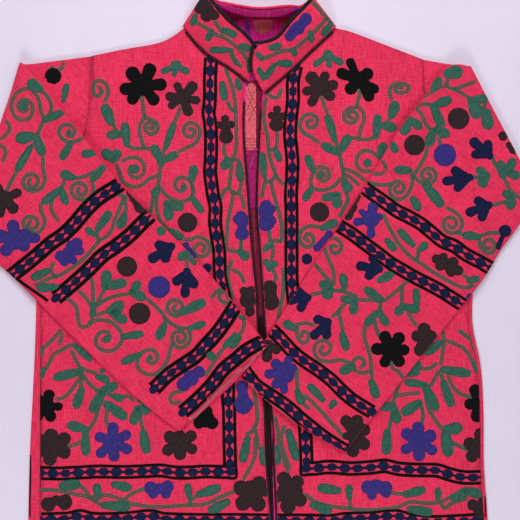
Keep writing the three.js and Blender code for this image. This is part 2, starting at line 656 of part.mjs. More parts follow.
function collarLining() {
  const last = COLLAR_ROWS.length - 1;
  const [from, to] = [COLLAR_BACK.from / last, COLLAR_BACK.to / last];
  const count = Math.round(COLLAR_STEPS.round * (to - from));
  const column = (t, out) => COLLAR_LINING_HEIGHTS.map((w) => collarFace(mix(from, to, t), w, out));
  const grid = (out) => stepped(count, (t) => column(t, out));
  return wall(grid(-COLLAR_LINING_GAP - LINING_CLOTH), grid(-COLLAR_LINING_GAP));
}

// A line of straight stitches from point to point. A tube along it has one ring at each point.
class StitchLine extends THREE.Curve {
  constructor(points) {
    super();
    this.points = points;
  }
  getPoint(t) {
    const i = Math.min(Math.floor(t * (this.points.length - 1)), this.points.length - 2);
    return this.points[i].clone().lerp(this.points[i + 1], t * (this.points.length - 1) - i);
  }
  getPointAt(t) {
    return this.getPoint(t);
  }
  getTangentAt(t) {
    return this.getTangent(t);
  }
}

// A round edging from point to point.
function edging(points, radius = EDGING_RADIUS) {
  const circle = stepped(EDGING_SIDES - 1, (t, i) => (2 * Math.PI * i) / EDGING_SIDES).map(
    (a) => new THREE.Vector2(radius * Math.cos(a), radius * Math.sin(a)),
  );
  return new THREE.ExtrudeGeometry(new THREE.Shape(circle), {
    steps: points.length - 1,
    extrudePath: new StitchLine(points),
    bevelEnabled: false,
  });
}

// The edging down a front edge, on the points of that edge.
function frontEdging({ under, out }) {
  const points = under.map((row) => row.at(-1)).slice(0, -1);
  const lift = CLOTH / 2 + EDGING_LIFT;
  return edging(points.map((p) => point(p.x - out * (EDGING_RADIUS + SEAM), p.y, p.z + lift)));
}

// The piping on a front along the foot of the collar.
function neckPiping(side) {
  const share = COLLAR_FRONT / (COLLAR_ROWS.length - 1);
  const rest = pile.bridged();
  const points = stepped(PIPING_STEPS, (t) => {
    const from = mix(PIPING_SHY, share, t);
    const at = side === "left" ? from : 1 - from;
    const foot = collarFace(at, 0, COLLAR_CLOTH);
    const away = foot.clone().sub(collarFace(at, FOOT_REACH, COLLAR_CLOTH)).setZ(0).normalize();
    foot.addScaledVector(away, EDGING_RADIUS + 2 * SEAM);
    return foot.setZ(rest(foot.x, foot.y) + SEAM + EDGING_RADIUS);
  });
  return edging(points);
}

// The edging along the top of the collar's front halves, and down its right front end.
function collarEdging(side) {
  const reach = COLLAR_EDGING_RADIUS + 2 * SEAM;
  const middle = (t, up) => collarFace(t, up, COLLAR_CLOTH / 2);
  const squareTo = (way, line) => way.addScaledVector(line, -way.dot(line) / line.lengthSq()).normalize();
  const step = 1 / COLLAR_STEPS.round;
  const share = (COLLAR_FRONT + 1) / (COLLAR_ROWS.length - 1);
  const count = Math.round(COLLAR_STEPS.round * share);
  const top = stepped(count, (u) => {
    const t = side === "left" ? share * u : 1 - share * (1 - u);
    const line = middle(Math.min(1, t + step), 1).sub(middle(Math.max(0, t - step), 1));
    const way = middle(t, 1).sub(middle(t, 1 - TOP_REACH));
    return middle(t, 1).addScaledVector(squareTo(way, line), reach);
  });
  const frontEnd = END_HEIGHTS.map((up) => {
    const line = middle(1, up + END_STEP).sub(middle(1, up - END_STEP));
    const way = middle(1, up).sub(middle(1 - END_REACH, up));
    const p = middle(1, up).addScaledVector(squareTo(way, line), reach);
    return up === 1 ? p.addScaledVector(line.normalize(), reach) : p;
  });
  return edging(side === "left" ? top : [...top.slice(0, -1), ...frontEnd], COLLAR_EDGING_RADIUS);
}

const pile = new Pile();
const fronts = { left: front("left"), right: front("right") };
pile.add(sew("side_strip_left", sideStrip("left", fronts.left.under), CLOTH_RED));
pile.add(sew("side_strip_right", sideStrip("right", fronts.right.under), CLOTH_RED));
sew("back_panel", back(), CLOTH_RED);
sew("back_lining", backLining(), LINING_PINK, 0.6);
pile.add(sew("front_left", fronts.left.solid, CLOTH_RED));
pile.add(sew("front_right", fronts.right.solid, CLOTH_RED));
sew("neck_piping_left", neckPiping("left"), EDGING_BLACK);
sew("neck_piping_right", neckPiping("right"), EDGING_BLACK);
sew("edging_front_left", frontEdging(fronts.left), EDGING_BLACK);
sew("edging_front_right", frontEdging(fronts.right), EDGING_BLACK);
sew("collar", collar(), CLOTH_RED);
sew("collar_lining", collarLining(), LINING_PINK, 0.6);
sew("collar_edging_left", collarEdging("left"), EDGING_BLACK);
sew("collar_edging_right", collarEdging("right"), EDGING_BLACK);
sew("sleeve_right", sleeve("right"), CLOTH_RED);
sew("sleeve_left", sleeve("left"), CLOTH_RED);

export default jacket;
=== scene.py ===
"""Dresses the frame of a suzani jacket, laid flat with its sleeves folded across the fronts.

It gives the jacket handwoven cotton, a patched lining, crocheted edgings and chain-stitch embroidery,
and lays it on a pale table under soft light.
"""

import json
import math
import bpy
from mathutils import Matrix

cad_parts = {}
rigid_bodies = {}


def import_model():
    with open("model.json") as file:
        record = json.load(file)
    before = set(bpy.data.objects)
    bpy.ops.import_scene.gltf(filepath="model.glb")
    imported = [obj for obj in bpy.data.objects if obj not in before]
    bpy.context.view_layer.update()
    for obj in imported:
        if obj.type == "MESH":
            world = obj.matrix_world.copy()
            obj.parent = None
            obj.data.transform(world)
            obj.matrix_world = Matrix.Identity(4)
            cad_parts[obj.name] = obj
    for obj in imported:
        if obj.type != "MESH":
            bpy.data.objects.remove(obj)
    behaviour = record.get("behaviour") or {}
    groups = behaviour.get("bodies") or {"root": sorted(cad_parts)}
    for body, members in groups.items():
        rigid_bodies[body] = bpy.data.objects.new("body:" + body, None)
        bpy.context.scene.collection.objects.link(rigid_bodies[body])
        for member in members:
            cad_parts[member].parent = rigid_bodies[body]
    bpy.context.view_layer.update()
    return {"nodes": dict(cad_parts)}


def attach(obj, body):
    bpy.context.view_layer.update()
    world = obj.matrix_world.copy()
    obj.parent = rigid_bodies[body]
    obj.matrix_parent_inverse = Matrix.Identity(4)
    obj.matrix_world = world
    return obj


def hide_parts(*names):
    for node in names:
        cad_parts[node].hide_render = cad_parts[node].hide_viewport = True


bl_info = {
    "name": "Suzani Jacket",
    "version": (1, 0, 0),
    "blender": (4, 5, 0),
    "location": "View3D > Sidebar > Jacket",
    "description": "Dresses a suzani jacket in handwoven cloth and chain-stitch embroidery",
    "category": "Object",
}

import bmesh
import bpy
import numpy as np
from mathutils import Vector, noise
from mathutils.bvhtree import BVHTree

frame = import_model()

# ---- The chart: the embroidery is drawn in squares, laid over the jacket as it is seen from above ----
SQUARE = 0.00125  # side of a square, on the table
ORIGIN = (258, 280)  # squares from the chart's left and top edges to the middle of the jacket
SEEN_FROM = Vector((0.0025, 0.025, 1.0))  # the camera's place
VIEW_WIDTH = 0.65  # of the table, from one side of the view to the other

# ---- Cloth ----
RIM_ANGLE = math.radians(62)  # an edge sharper than this is the cut rim of a cloth
MERGE = 5e-6  # points closer than this are one point
QUAD_BEND = math.radians(30)  # two triangles make one quad where they bend less than this
QUAD_SKEW = math.radians(60)  # and its corners aren't further from square than this
RIPPLE = 0.00035  # how far the cloth ripples up and down
RIPPLES = ((0.045, 0.7), (0.016, 0.3))  # length of each ripple, and its share
RIPPLE_LAYERS = 100  # keeps the ripples of each length apart

# Each cloth piece: its node, the turn of its weave in degrees, its share of the ripple, its slot,
# the width, length and area of its flat cut in metres, how it is held and what it rests on
CLOTHS = [
    ("side_strip_left", 0, 1, "cloth", 0.026, 0.368, None, "laid", ["back_panel"]),
    ("side_strip_right", 0, 1, "cloth", 0.021, 0.368, None, "laid", ["back_panel"]),
    ("back_panel", 0, 0, "cloth", 0.545, 0.65, 0.313, "laid", []),
    ("front_left", 0, 1, "cloth", 0.29, 0.635, 0.153, "laid", ["back_panel"]),
    ("front_right", 0, 1, "cloth", 0.285, 0.635, 0.149, "laid", ["back_panel"]),
    ("collar", 40, 0, "cloth", 0.39, 0.048, 0.0163, "folded", ["front_left", "front_right"]),
    ("back_lining", 0, 0, "lining", 0.157, 0.642, 0.0608, "laid", ["back_panel"]),
    ("collar_lining", 0, 0, "lining", 0.13, 0.035, 0.0037, "laid", ["collar"]),
    ("sleeve_right", 55, 1, "cloth", 0.46, 0.56, 0.193, "folded", ["front_left", "front_right"]),
    ("sleeve_left", 44, 1, "cloth", 0.46, 0.56, 0.192, "folded", ["front_left", "sleeve_right"]),
]
# Folds that stand up in a sleeve's upper ply: the sleeve, x and y of both ends on the chart, and the height
FOLDS = [("sleeve_left", 14, 54, 130, 190, 0.007), ("sleeve_right", 372, 167, 460, 56, 0.008)]
FOLD_STEEP = 8  # a fold drops to nothing over this many squares on its left,
FOLD_GENTLE = 36  # over this many on its right,
FOLD_ENDS = 14  # and over this many at each end
FOLD_FOOT = 0.012  # cloth higher than this moves with the fold, and the cloth under it moves less
CLOTH_LEVELS = 2  # of rounding
FLAT_PIECES = ("back_panel",)  # these stay as flat as they are cut
# Each edging's node and its radius
EDGINGS = {
    "edging_front_left": 0.0013,
    "edging_front_right": 0.0013,
    "neck_piping_left": 0.0013,
    "neck_piping_right": 0.0013,
    "collar_edging_left": 0.002,
    "collar_edging_right": 0.002,
}
CROCHET_PITCH = 0.0026  # length of a crochet stitch
CROCHET_SIDES = 12
CROCHET_RINGS = 4  # in each stitch
CROCHET_SWELL = 0.2  # how much thicker a stitch is at its middle
CROCHET_LEAN = 2  # how far a stitch leans round the cord
RING_REACH = 2.2  # the points of one ring of a tube are at most this many radii apart

# ---- Stitches. Widths are in squares and heights in metres ----
TINY = 1e-9
STEEP = 0.2  # stitches are laid only on cloth that faces up at least this much
LONGEST = 0.005  # a stitch face longer than this has crossed from one cloth to another
TUCK = 0.00012  # the rim of every stitch sinks this far into the cloth
LINE_PARTS = 12  # a smooth line is drawn in this many parts between its points
LININGS = ("collar_lining", "back_lining")
# Filled motifs
CELL = 0.65  # side of a cell of a motif's mesh
FILL_HEIGHT = 0.00055
FILL_EDGE = 1.0  # a motif rises to its height over this width
FILL_WOBBLE = 0.28  # how far its outline strays
WOBBLE_WAVES = ((1.1, 0.7), (-0.5, 1.3))  # how fast it strays, across and down the chart
LEAST_SLOPE = 0.3  # flatter than this, a rim isn't drawn in further
LEAF_STEM = 0.4  # radii of a leaf near its stem, at its widest and at its tip, as shares of its width
LEAF_MIDDLE = 0.56
LEAF_TIP = 0.48
LEAF_WIDEST = 0.58  # share of the length where a leaf is widest
LEAF_START = 0.6  # the stem's radius is centred this share of itself in from the stem end
PETAL_NECK = 0.7  # a petal starts at this share of its own radius
# Vines
LINK_PITCH = 2.5  # each link starts inside the one before it
LINK_LENGTH = 3.3
LINK_WIDTH = 3.0
LINK_TAPER = 0.35  # how much narrower a link is ahead than behind
LINK_THREAD = 0.95  # half the width of the thread of a link
LINK_HEIGHT = 0.0005
LINK_POINTS = 10
# Cords and borders
CORD_HEIGHT = 0.0006
CORD_STEP = 1.1
# Places across a cord, and their heights
CORD_SECTION = ((-1, -1), (-0.62, 0.75), (0, 1), (0.62, 0.75), (1, -1))
CORD_SWELL = 0.06
CORD_WAVES = (1.9, 0.37)  # the beats of the swell along the cord
TWIST = 0.16  # how far the twist of the thread stands out
TWIST_TURN = 2.2  # its turn in each step
TWIST_LEAN = 3  # its lean from one side to the other
SEAM_FULL = 3.0  # a cord this wide stands up fully, and a finer one less
BORDER_STEP = 4 * CORD_STEP
BEAD_PITCH = 12.7
BEAD_RADIUS = 4.1
BEAD_RUN = 1.4  # how much further than its radius a bead reaches along the border
BEAD_SPREAD = 0.3  # beads are larger and smaller by this much,
BEAD_BEAT = 2.4  # in this beat
BEAD_LINK = 3.0  # width of the thread between beads
BEAD_LINK_HEIGHT = 0.5  # its height, as a share of a bead's
# Lining
PATCH_HEIGHT = 0.0002
PATCH_RISE = 0.00003  # each patch lies on top of the ones before it
RUNNING_PITCH = 3.6
RUNNING_HALF = 1.2  # half the length of a running stitch
RUNNING_WIDTH = 0.9
RUNNING_HEIGHT = 0.0008

# ---- Finishes. Sizes are in metres, and a span is where a change begins and where it is complete ----
GLOSS = 0.1  # cotton hardly shines
WAVE_STEPS = 20  # a wave pattern turns through this many radians in each step of its scale
FINE_DETAIL = 2.0  # how fine the grain of a pattern is
BAND_DETAIL = 1.5
SOFT_SPAN = (0.3, 0.7)
COTTON_ROUGHNESS = 0.9
COTTON_SHEEN = 0.04
THREAD_PITCH = 0.0021  # of the cloth's coarse threads
THREAD_STRAY = 1.2  # how far they stray from straight
SLUB_ACROSS = (0.011, 0.0013)  # sizes of the slubs across the cloth and along it
SLUB_ALONG = (0.0015, 0.016)
SLUB_DETAIL = 3.0
DARK_ACROSS = (0.46, 0.66)
LIGHT_ALONG = (0.52, 0.72)
DARK_ALONG = (0.47, 0.3)
BLOTCH = (0.05, 0.06)
BLOTCH_SHADE = (0.86, 0.86, 0.86)
GAP_SPAN = (0.3, 0.0)  # the gaps between threads,
GAP_SHARE = 0.5  # and how dark they are
THREAD_LIFT = 0.6  # how far the threads stand up, as a share of the slubs
COTTON_BUMP = (0.75, 0.0006)  # strength and depth
PUCKER = 0.016  # size of the puckers that the stitches draw in the cloth
PUCKER_DETAIL = 1.0
PUCKER_STRENGTH = 0.8
PUCKER_DEPTH = 0.004
SLUBS = 0.42  # how strongly the slubs show in the cotton, and in the lining
LINING_SLUBS = 0.45
LINING_DARK = 0.6  # how dark the lining's slubs are
STITCH_ROUGHNESS = 0.8
STITCH_SHEEN = 0.04
ROW_PITCH = 0.0014  # of the rows of chain stitch that fill a motif
ROW_STRAY = 0.8
# where the painted shade of the grooves between rows begins and where it is full
ROW_GROOVE = (0.25, 0.0)
STITCH_PITCH = 0.0024  # of the stitches in a row
STITCH_STRAY = 1.6
STITCH_LIFT = 0.5
DYE_PATCH = 0.0035  # size of the lighter and darker patches of a thread
DYE_DETAIL = 3.0
DYE_SPAN = (0.35, 0.7)
DYE_DARK = 0.72
DYE_LIGHT = 1.35
HIGHLIGHT_SHARE = 0.4  # how much of the painted highlight on the crests of the stitches shows
HIGHLIGHT_GAIN = 1.35  # the painted highlight is this much brighter than the colour
HIGHLIGHT_ADDED = 0.012
RIM_SHADE = 0.0019  # the outermost thread of a filled motif lies in shade, like the grooves between rows
# painted shade in the grooves between rows and on a motif's outermost thread: its share, and how dark it is
GROOVE_SHARE = 0.8
GROOVE_SHADE = 0.4
STITCH_BUMP = (0.8, 0.0004)
CROCHET_ROUGHNESS = 0.75
CROCHET_SHEEN = 0.03
CROCHET_GRAIN = 900.0
CROCHET_SPAN = (0.35, 0.75)
CROCHET_PALE = (0.03, 0.028, 0.036)
CROCHET_BUMP = (0.5, 0.0003)
TABLE_ROUGHNESS = 0.9
TABLE_GRAIN = 14.0
TABLE_DETAIL = 3.0
TABLE_SHADE = 0.97
TABLE_BUMP = (0.05, 0.0005)

# ---- Stage ----
TABLE_WIDTH = 4.0
TABLE_DROP = -0.0004  # the table lies just under the jacket
SENSOR = 36.0
SKY_COLOUR = (1.0, 1.0, 1.0, 1.0)
SKY_STRENGTH = 0.24
# Each lamp's name, place, size and power
LAMPS = (
    ("light_over", (-0.05, 1.0, 1.1), 0.8, 15.0),
    ("light_side", (0.9, 0.1, 1.3), 1.2, 3.0),
    ("light_front", (-0.2, -1.2, 0.95), 0.4, 11.0),
)

# ---- The chart's tables, in squares from its left and top edges ----
# Leaves: x and y of the stem end, x and y of the tip, and the width.
LEAVES = {
    "front_left": [
        (112, 124, 103.5, 104, 11), (127, 146, 124.5, 122, 9.5), (122, 134, 106, 135.5, 8.5),
        (165, 149, 174.5, 122, 7.5), (160, 160, 152.5, 144.5, 9.5), (162, 161, 178.5, 153, 8.5),
        (115, 161, 117.5, 149, 9.5), (115, 161, 102, 150, 10.5), (191.5, 181, 194.5, 165, 9),
        (191, 196, 203, 213, 7.5), (164, 203, 184, 208, 9.5), (167, 204, 169.5, 221, 10),
        (158, 187, 153, 197, 9), (168, 230, 183, 238.5, 9), (222, 82, 225, 101, 8), (237, 79, 240, 91, 7),
        (228, 158, 222.5, 170, 9), (239, 163, 241, 182, 8), (239, 251, 249, 259, 9.5),
        (248, 437, 242, 463, 9), (262, 447, 264, 466, 8), (43, 347, 39, 357, 6), (44, 368, 39, 379, 7),
        (73, 344, 92, 361, 7), (82, 371, 53, 378, 9.5), (82, 388, 75, 409, 9.5), (98, 393, 118, 384, 9.5),
        (103, 391, 91, 413, 11), (106, 403, 127, 419, 10.5), (139, 407, 132, 425, 9.5),
        (135, 408, 150, 412, 9), (143, 431, 147, 454, 10), (87, 430, 67, 424, 10), (85, 433, 86, 456, 9.5),
        (60, 486, 81, 483.5, 11), (97, 497, 97, 483, 8.5), (102, 505, 131, 507, 10),
        (112, 484, 132, 488.5, 9.5), (190, 499, 187, 483, 7.5), (197, 495, 221, 487, 10),
        (229, 501, 208, 512, 10), (96, 376, 110, 381, 8), (112, 396, 124, 399, 8), (139, 399, 155, 410, 8),
        (118, 371, 132, 379, 8),
    ],
    "front_right": [
        (391, 117, 396.5, 101, 11), (376, 138, 378, 114, 9), (382, 125, 397, 128.5, 10),
        (335, 141, 327, 114, 8.5), (341, 151, 349.5, 134.5, 9.5), (339, 153.5, 321, 144, 9),
        (313, 171, 306.5, 154.5, 8), (380, 158, 384, 142, 9.5), (312, 188, 303.5, 201, 8),
        (344, 180, 350, 193, 10), (340, 194, 321, 198.5, 8), (336, 194, 338, 209, 10),
        (321, 229, 338, 221, 9), (275, 148, 280.5, 162, 7.5), (264, 177, 262.5, 152, 7.5),
        (273, 241, 263, 251.5, 6.5), (276, 446, 278, 465, 7.5), (288, 430, 297, 461, 9),
        (442, 342, 424, 354, 9.5), (417, 362, 417, 369, 10), (472, 342, 479, 357, 6),
        (441, 369, 471, 374, 9.5), (473, 362, 481, 375, 7), (443, 381, 452, 407, 9.5),
        (427, 385, 404, 382, 8), (424, 384, 437, 411, 10.5), (421, 402, 401, 414, 10.5),
        (393, 404, 380, 409, 9), (393, 406, 398, 424, 10), (387, 430, 386.5, 455, 10),
        (444, 429, 463, 428, 12), (445, 431, 449, 457, 12), (340, 491, 317, 487, 10),
        (349, 499, 349, 484, 7.5), (311, 504, 332, 512, 10), (404, 495, 426, 489, 9.5),
        (438, 500, 438, 487, 7), (408, 509, 433, 513, 10), (452, 499, 470, 490, 10), (463, 490, 483, 495, 10),
        (402, 374, 420, 372, 8),
    ],
    "sleeve_left": [
        (63, 102, 67, 83, 7), (42, 89, 27, 81, 11), (44, 121, 63, 111.5, 8), (71, 143, 60.5, 160, 8.5),
        (34, 136, 15, 139, 12), (36, 136, 43, 156, 10), (31, 146, 16, 172, 8.5), (95, 153, 81, 154, 8.5),
        (74, 178, 60, 173, 9.5), (105, 165, 91, 181, 8.5), (62, 188, 42, 203.5, 8.5),
        (61, 188, 66.5, 205, 8.5), (96, 236, 85, 228, 7), (97, 230, 110.5, 211, 9), (125, 214, 119, 229, 9.5),
        (49, 270, 31, 279, 9), (58, 287, 36, 288, 9), (105, 289, 107, 270, 11), (105, 287, 127, 282, 10),
        (132, 293, 139.5, 281, 9), (130, 291, 146, 299, 10), (94, 303, 92, 318, 7), (108, 312, 124, 303, 11),
        (110, 312, 127, 322, 10), (122, 337, 144, 333.5, 8), (165, 324, 157.5, 340, 9.5),
        (181, 313, 206, 301, 10), (188, 329, 206, 323, 7.5), (141, 354, 121, 363, 8), (186, 252, 178, 260, 8),
        (186, 251, 196, 265, 6), (207, 353, 214, 358, 9), (236, 333, 223, 348, 6), (240, 336, 229, 348, 9),
        (246, 318, 238, 317, 5),
    ],
    "sleeve_right": [
        (445, 74, 463, 71, 13), (432, 90, 441, 77, 9), (472, 100, 488, 98, 9), (471, 98, 478, 119, 12),
        (486, 110, 488.5, 130, 12), (433, 106, 452, 98.5, 9.5), (433, 106, 442.5, 128, 10),
        (411, 118, 402, 135, 10.5), (412, 119, 421.5, 129, 9), (434, 129, 427.5, 147, 10),
        (434, 129, 450, 135.5, 10), (391, 142, 397, 153, 8), (411, 170, 394, 170, 9), (489, 177, 476, 168, 9),
        (487, 176, 480, 187, 10), (503, 178, 500, 160, 9), (508, 172, 514, 158, 9), (508, 174, 520, 176, 9),
        (514, 197, 502, 192, 8), (511, 194, 510, 210, 11), (412, 197, 420, 211, 9),
        (424, 183, 443, 207, 10.5), (480, 237, 462, 235, 9), (386, 239, 396, 251, 8), (414, 246, 398, 229, 8),
        (418, 251, 428, 242.5, 8), (467, 281, 480, 278, 7), (378, 281, 394, 273, 9),
        (345, 289, 342.5, 273, 8.5), (332, 289, 319, 282, 9), (331, 288, 325, 298, 11),
        (357, 302, 340, 298, 8), (355, 300, 353, 315, 9), (382, 300, 364, 288, 9), (377, 312, 365, 326, 8.5),
        (379, 312, 388, 326, 8), (405, 305, 395, 315, 9), (404, 306, 420, 311, 9), (417, 308, 416, 288, 8),
        (342, 333, 347, 351, 9), (371, 380, 377, 399, 9), (355, 366, 339, 372, 9.5), (296, 329, 283, 322, 9),
        (324, 401, 308, 384, 8), (297, 390, 302, 405, 8), (330, 408, 336, 400, 7),
    ],
    "collar": [
        (196, 14, 192, 26, 7), (213, 30, 206.5, 41, 7), (222, 29, 237, 36, 8), (231, 50, 209, 50, 7),
        (230, 53, 239, 65, 4.5), (240, 45, 251, 50, 8), (248, 58, 251, 74, 6), (332, 22, 322, 36, 7.5),
        (310, 31, 312, 43, 6.5), (292, 48, 296, 56, 6.5), (269, 48, 282, 45, 7.5), (256, 53, 264, 60, 6),
        (277, 63, 293, 64, 8), (275, 64, 264.5, 79, 7), (264, 80, 258, 67, 6),
    ],
}
# Flowers, buds and berries: the colour, then x, y and radius of the core, and the same of each petal's end.
BLOOMS = {
    "front_left": [
        ("black", (143, 86, 10), (149.5, 70, 7), (132.5, 73.5, 7.3), (125.5, 89, 6.3), (132.5, 99, 6),
         (153.5, 99.5, 6.3), (160.5, 84.5, 6.5)),
        ("brown", (183, 98, 7), (177.5, 86, 4.3), (192, 87, 6), (196, 100.3, 4.5), (188, 111, 5.5),
         (171.5, 105.5, 4), (170, 96.5, 5)),
        ("green", (176, 66, 6), (164, 71, 3.6), (186, 71, 4), (174, 74, 3)), ("green", (134.5, 169, 5)),
        ("green", (161, 162, 4.5)), ("green", (183, 187, 2.5)), ("green", (102, 371, 3)),
        ("brown", (187.5, 222.5, 10)), ("navy", (207, 268, 5)), ("purple", (186, 245, 3.5), (193, 256, 3.5)),
        ("brown", (225.5, 126, 5), (225, 119, 4.3), (219.5, 125, 4), (231.5, 124.5, 4), (226, 136.5, 7.5)),
        ("purple", (242, 226, 5), (241, 216, 5.5), (237, 219, 4.5), (247.5, 219.5, 4.5), (242, 233, 7.5)),
        ("brown", (248, 300, 8.5), (244, 291, 4.5), (251, 290.5, 4.5), (250, 312, 5)),
        ("purple", (243, 396, 6), (242, 387, 6.5), (243, 406, 8.5), (237, 404, 4.5), (249.5, 404, 4.5)),
        ("black", (46, 407, 9.5), (49, 395, 5.8), (58.5, 406.5, 4.5), (50.5, 416, 6), (39, 397, 3.5),
         (38.5, 417, 4.5), (38, 407, 6)),
        ("brown", (54, 446, 11.5), (51, 436, 7.5), (64, 439, 7), (64, 452, 7), (50, 459, 7), (42, 450, 7),
         (41, 438, 4)),
        ("purple", (113, 442, 10.5), (113, 428, 6), (126, 435, 5.5), (127, 449, 5.5), (114, 456, 6),
         (101, 453, 5.5), (100, 437, 5.5)),
        ("brown", (181, 443, 10), (170, 437, 6.5), (180, 436, 6), (191, 436, 6), (192, 449, 5.5),
         (180, 454, 6.5), (168, 450, 6)),
        ("black", (206, 419, 9), (199, 423, 6), (212, 423, 6.5), (206, 412, 7)),
        ("purple", (160, 488, 5), (151, 488, 7), (153, 494, 5), (167, 487, 7), (166, 494, 5)),
        ("brown", (56, 500, 5), (49, 504, 8), (64, 502, 8.5)),
        ("brown", (251, 492, 12), (259, 484, 8), (241, 488, 8), (243, 503, 8), (258, 504, 8), (266, 492, 5)),
    ],
    "front_right": [
        ("brown", (320, 88, 8.5), (312, 78, 6.8), (325, 76, 5), (333, 85, 5.5), (330, 96, 5.5), (312, 102, 5),
         (307, 91, 5)),
        ("black", (359, 80, 9), (350.5, 62.5, 4.8), (342, 73.5, 6), (367, 74, 6.5), (374, 89, 5.3),
         (369, 96.5, 5.6), (351, 88.5, 6.5)),
        ("green", (328, 55, 5.5), (316, 64, 3.5), (340, 62, 4), (329, 65, 3.2)), ("green", (367.5, 163, 4.5)),
        ("green", (321.5, 176, 3)), ("purple", (469, 296, 3)), ("brown", (319.5, 212, 10)),
        ("navy", (307, 259, 5.6)), ("purple", (329, 234, 4), (317, 248, 4)),
        ("brown", (277, 116.5, 5), (277, 109.5, 4.3), (271.5, 115.5, 4), (282.5, 116, 4), (276.5, 124, 7.8)),
        ("purple", (266, 214, 7), (266, 206, 6.3), (271, 209, 5), (261, 211, 4.5), (266, 223, 8.5),
         (271, 221, 5.5)),
        ("green", (270, 268, 4), (266, 262, 3.5), (275, 264, 3.5)),
        ("brown", (271, 302, 8.5), (269.5, 288, 7.8)),
        ("black", (478, 404, 8), (475, 390, 6), (482, 390, 4), (470, 404, 6), (477, 416, 6.5)),
        ("brown", (478, 447, 8), (480, 434, 6), (470, 444, 7), (472, 456, 6.5), (481, 452, 7)),
        ("purple", (419, 442, 11), (418, 428, 6.5), (430, 436, 6.8), (432, 450, 5.5), (419, 455, 6.5),
         (406, 449, 5.5), (407, 434, 6.3)),
        ("brown", (355, 435, 9), (357, 422, 6.5), (364, 430, 6.5), (364, 444, 6.5), (353, 451, 6.5)),
        ("purple", (376, 486, 7), (368, 487, 7), (385, 488, 7.5), (372, 495, 5), (386, 493, 5)),
        ("brown", (477, 507, 6), (473, 505, 6), (482, 502, 5), (480, 513, 7)),
        ("brown", (290, 492, 13), (284, 479, 7.5), (297, 482, 7), (276, 497, 6), (300, 500, 7),
         (288, 506, 8)),
    ],
    "sleeve_left": [
        ("black", (53, 76, 8.5)), ("green", (24, 105, 4.5)), ("green", (69, 132, 3)),
        ("green", (106, 338, 3)), ("green", (151, 358, 2.5)),
        ("brown", (4, 199, 9), (17, 193, 5), (13, 208, 6), (-2, 188, 5), (0, 213, 5)),
        ("purple", (16, 240, 10), (13, 226, 6.5), (35, 238, 5.5), (24, 246, 6), (6, 250, 6.5), (0, 236, 7),
         (25, 235, 7)),
        ("purple", (69, 253, 7), (77, 243.5, 6), (80, 251, 4.5), (70, 244.5, 4), (60, 256, 5.5),
         (64.5, 261, 5.5), (73, 260, 4.5)),
        ("brown", (134, 198, 5), (131, 193, 5), (140, 208, 5.5), (146, 210, 4)),
        ("brown", (127, 266.5, 10.3)), ("brown", (139.5, 313.5, 11)), ("purple", (159, 287, 11.3)),
        ("navy", (171, 246.5, 4.5), (153, 258, 5.5), (165.5, 258, 5.2), (159, 245, 5)),
        ("navy", (187, 271.5, 4.2), (177, 281, 5.2), (193.5, 283.5, 5.2), (185, 293, 5)),
        ("green", (161, 231, 5)), ("purple", (191, 378, 8), (199, 372, 6.3), (184, 384, 7.5)),
        ("green", (116, 311, 6)),
    ],
    "sleeve_right": [
        ("brown", (458.5, 118.5, 11)), ("brown", (414.5, 145, 10.5)), ("purple", (445, 155, 11.5)),
        ("brown", (503, 136, 5)), ("brown", (509, 145, 3.5), (513, 151, 3.5)),
        ("navy", (490, 156, 4), (474.5, 142.5, 5.6), (488, 144.5, 4.8), (475.5, 154.5, 4.6)),
        ("navy", (470, 177.5, 4), (447, 181, 5), (455.5, 171, 5), (458, 187.5, 4.8)),
        ("navy", (489, 205, 4), (470.5, 212, 5.2), (478.5, 201, 5), (482, 217, 4.8)),
        ("navy", (505, 231, 6.5), (498, 247, 3)), ("green", (505, 170, 6)),
        ("purple", (371, 219, 9), (373, 207, 5.5), (362, 212, 3.5), (357, 222, 4.3), (371, 234, 4.5),
         (379, 217, 4)),
        ("brown", (352, 207, 5.5), (348, 215, 5.5), (357, 197, 4)),
        ("brown", (446, 264, 5), (436.5, 259, 5), (443.5, 257, 4.5), (440, 266, 5), (453, 262.5, 6),
         (458, 270.5, 5.5), (451, 272, 5)),
        ("purple", (470, 297, 4)),
        ("navy", (379.5, 269, 4), (361, 266, 5.2), (369, 275.5, 4.8), (373, 258.5, 4.8)),
        ("navy", (308, 297.5, 4), (297, 290.5, 5), (290.5, 300.5, 4.8), (301, 307.5, 4.8)),
        ("navy", (328, 322, 4.2), (318, 319.5, 5), (314.5, 335, 5), (326.5, 334.5, 5)),
        ("black", (391, 349, 9), (385, 337, 6.3), (399, 338, 6.3), (404, 350, 5.8), (399, 361, 6.3),
         (385, 362, 5.8), (377, 349, 6.3)),
        ("brown", (424, 338, 7), (424, 329, 6.5), (417, 336, 6), (431, 336, 6), (420, 350, 6.3),
         (429, 346, 6)),
        ("brown", (355, 435, 9), (346, 421, 6), (357, 421, 6.5), (364, 430, 6.5), (353, 451, 6.5),
         (346, 436, 4)),
        ("purple", (284, 373, 11), (289, 359, 4.5), (269, 374, 5), (276, 364, 5.5), (284, 390, 4.2),
         (293, 368, 4.5), (276, 384, 5)),
        ("brown", (268, 346, 6.5), (276, 349, 5.5), (267, 357, 5.5)),
    ],
    "collar": [
        ("brown", (206, 8, 8), (203, 2, 7), (207, 15, 7), (214, 15, 5.5), (199, 9, 5)),
        ("purple", (298, 28, 7), (290, 36, 5.5), (306, 19, 6.3), (294, 31, 6)),
    ],
}
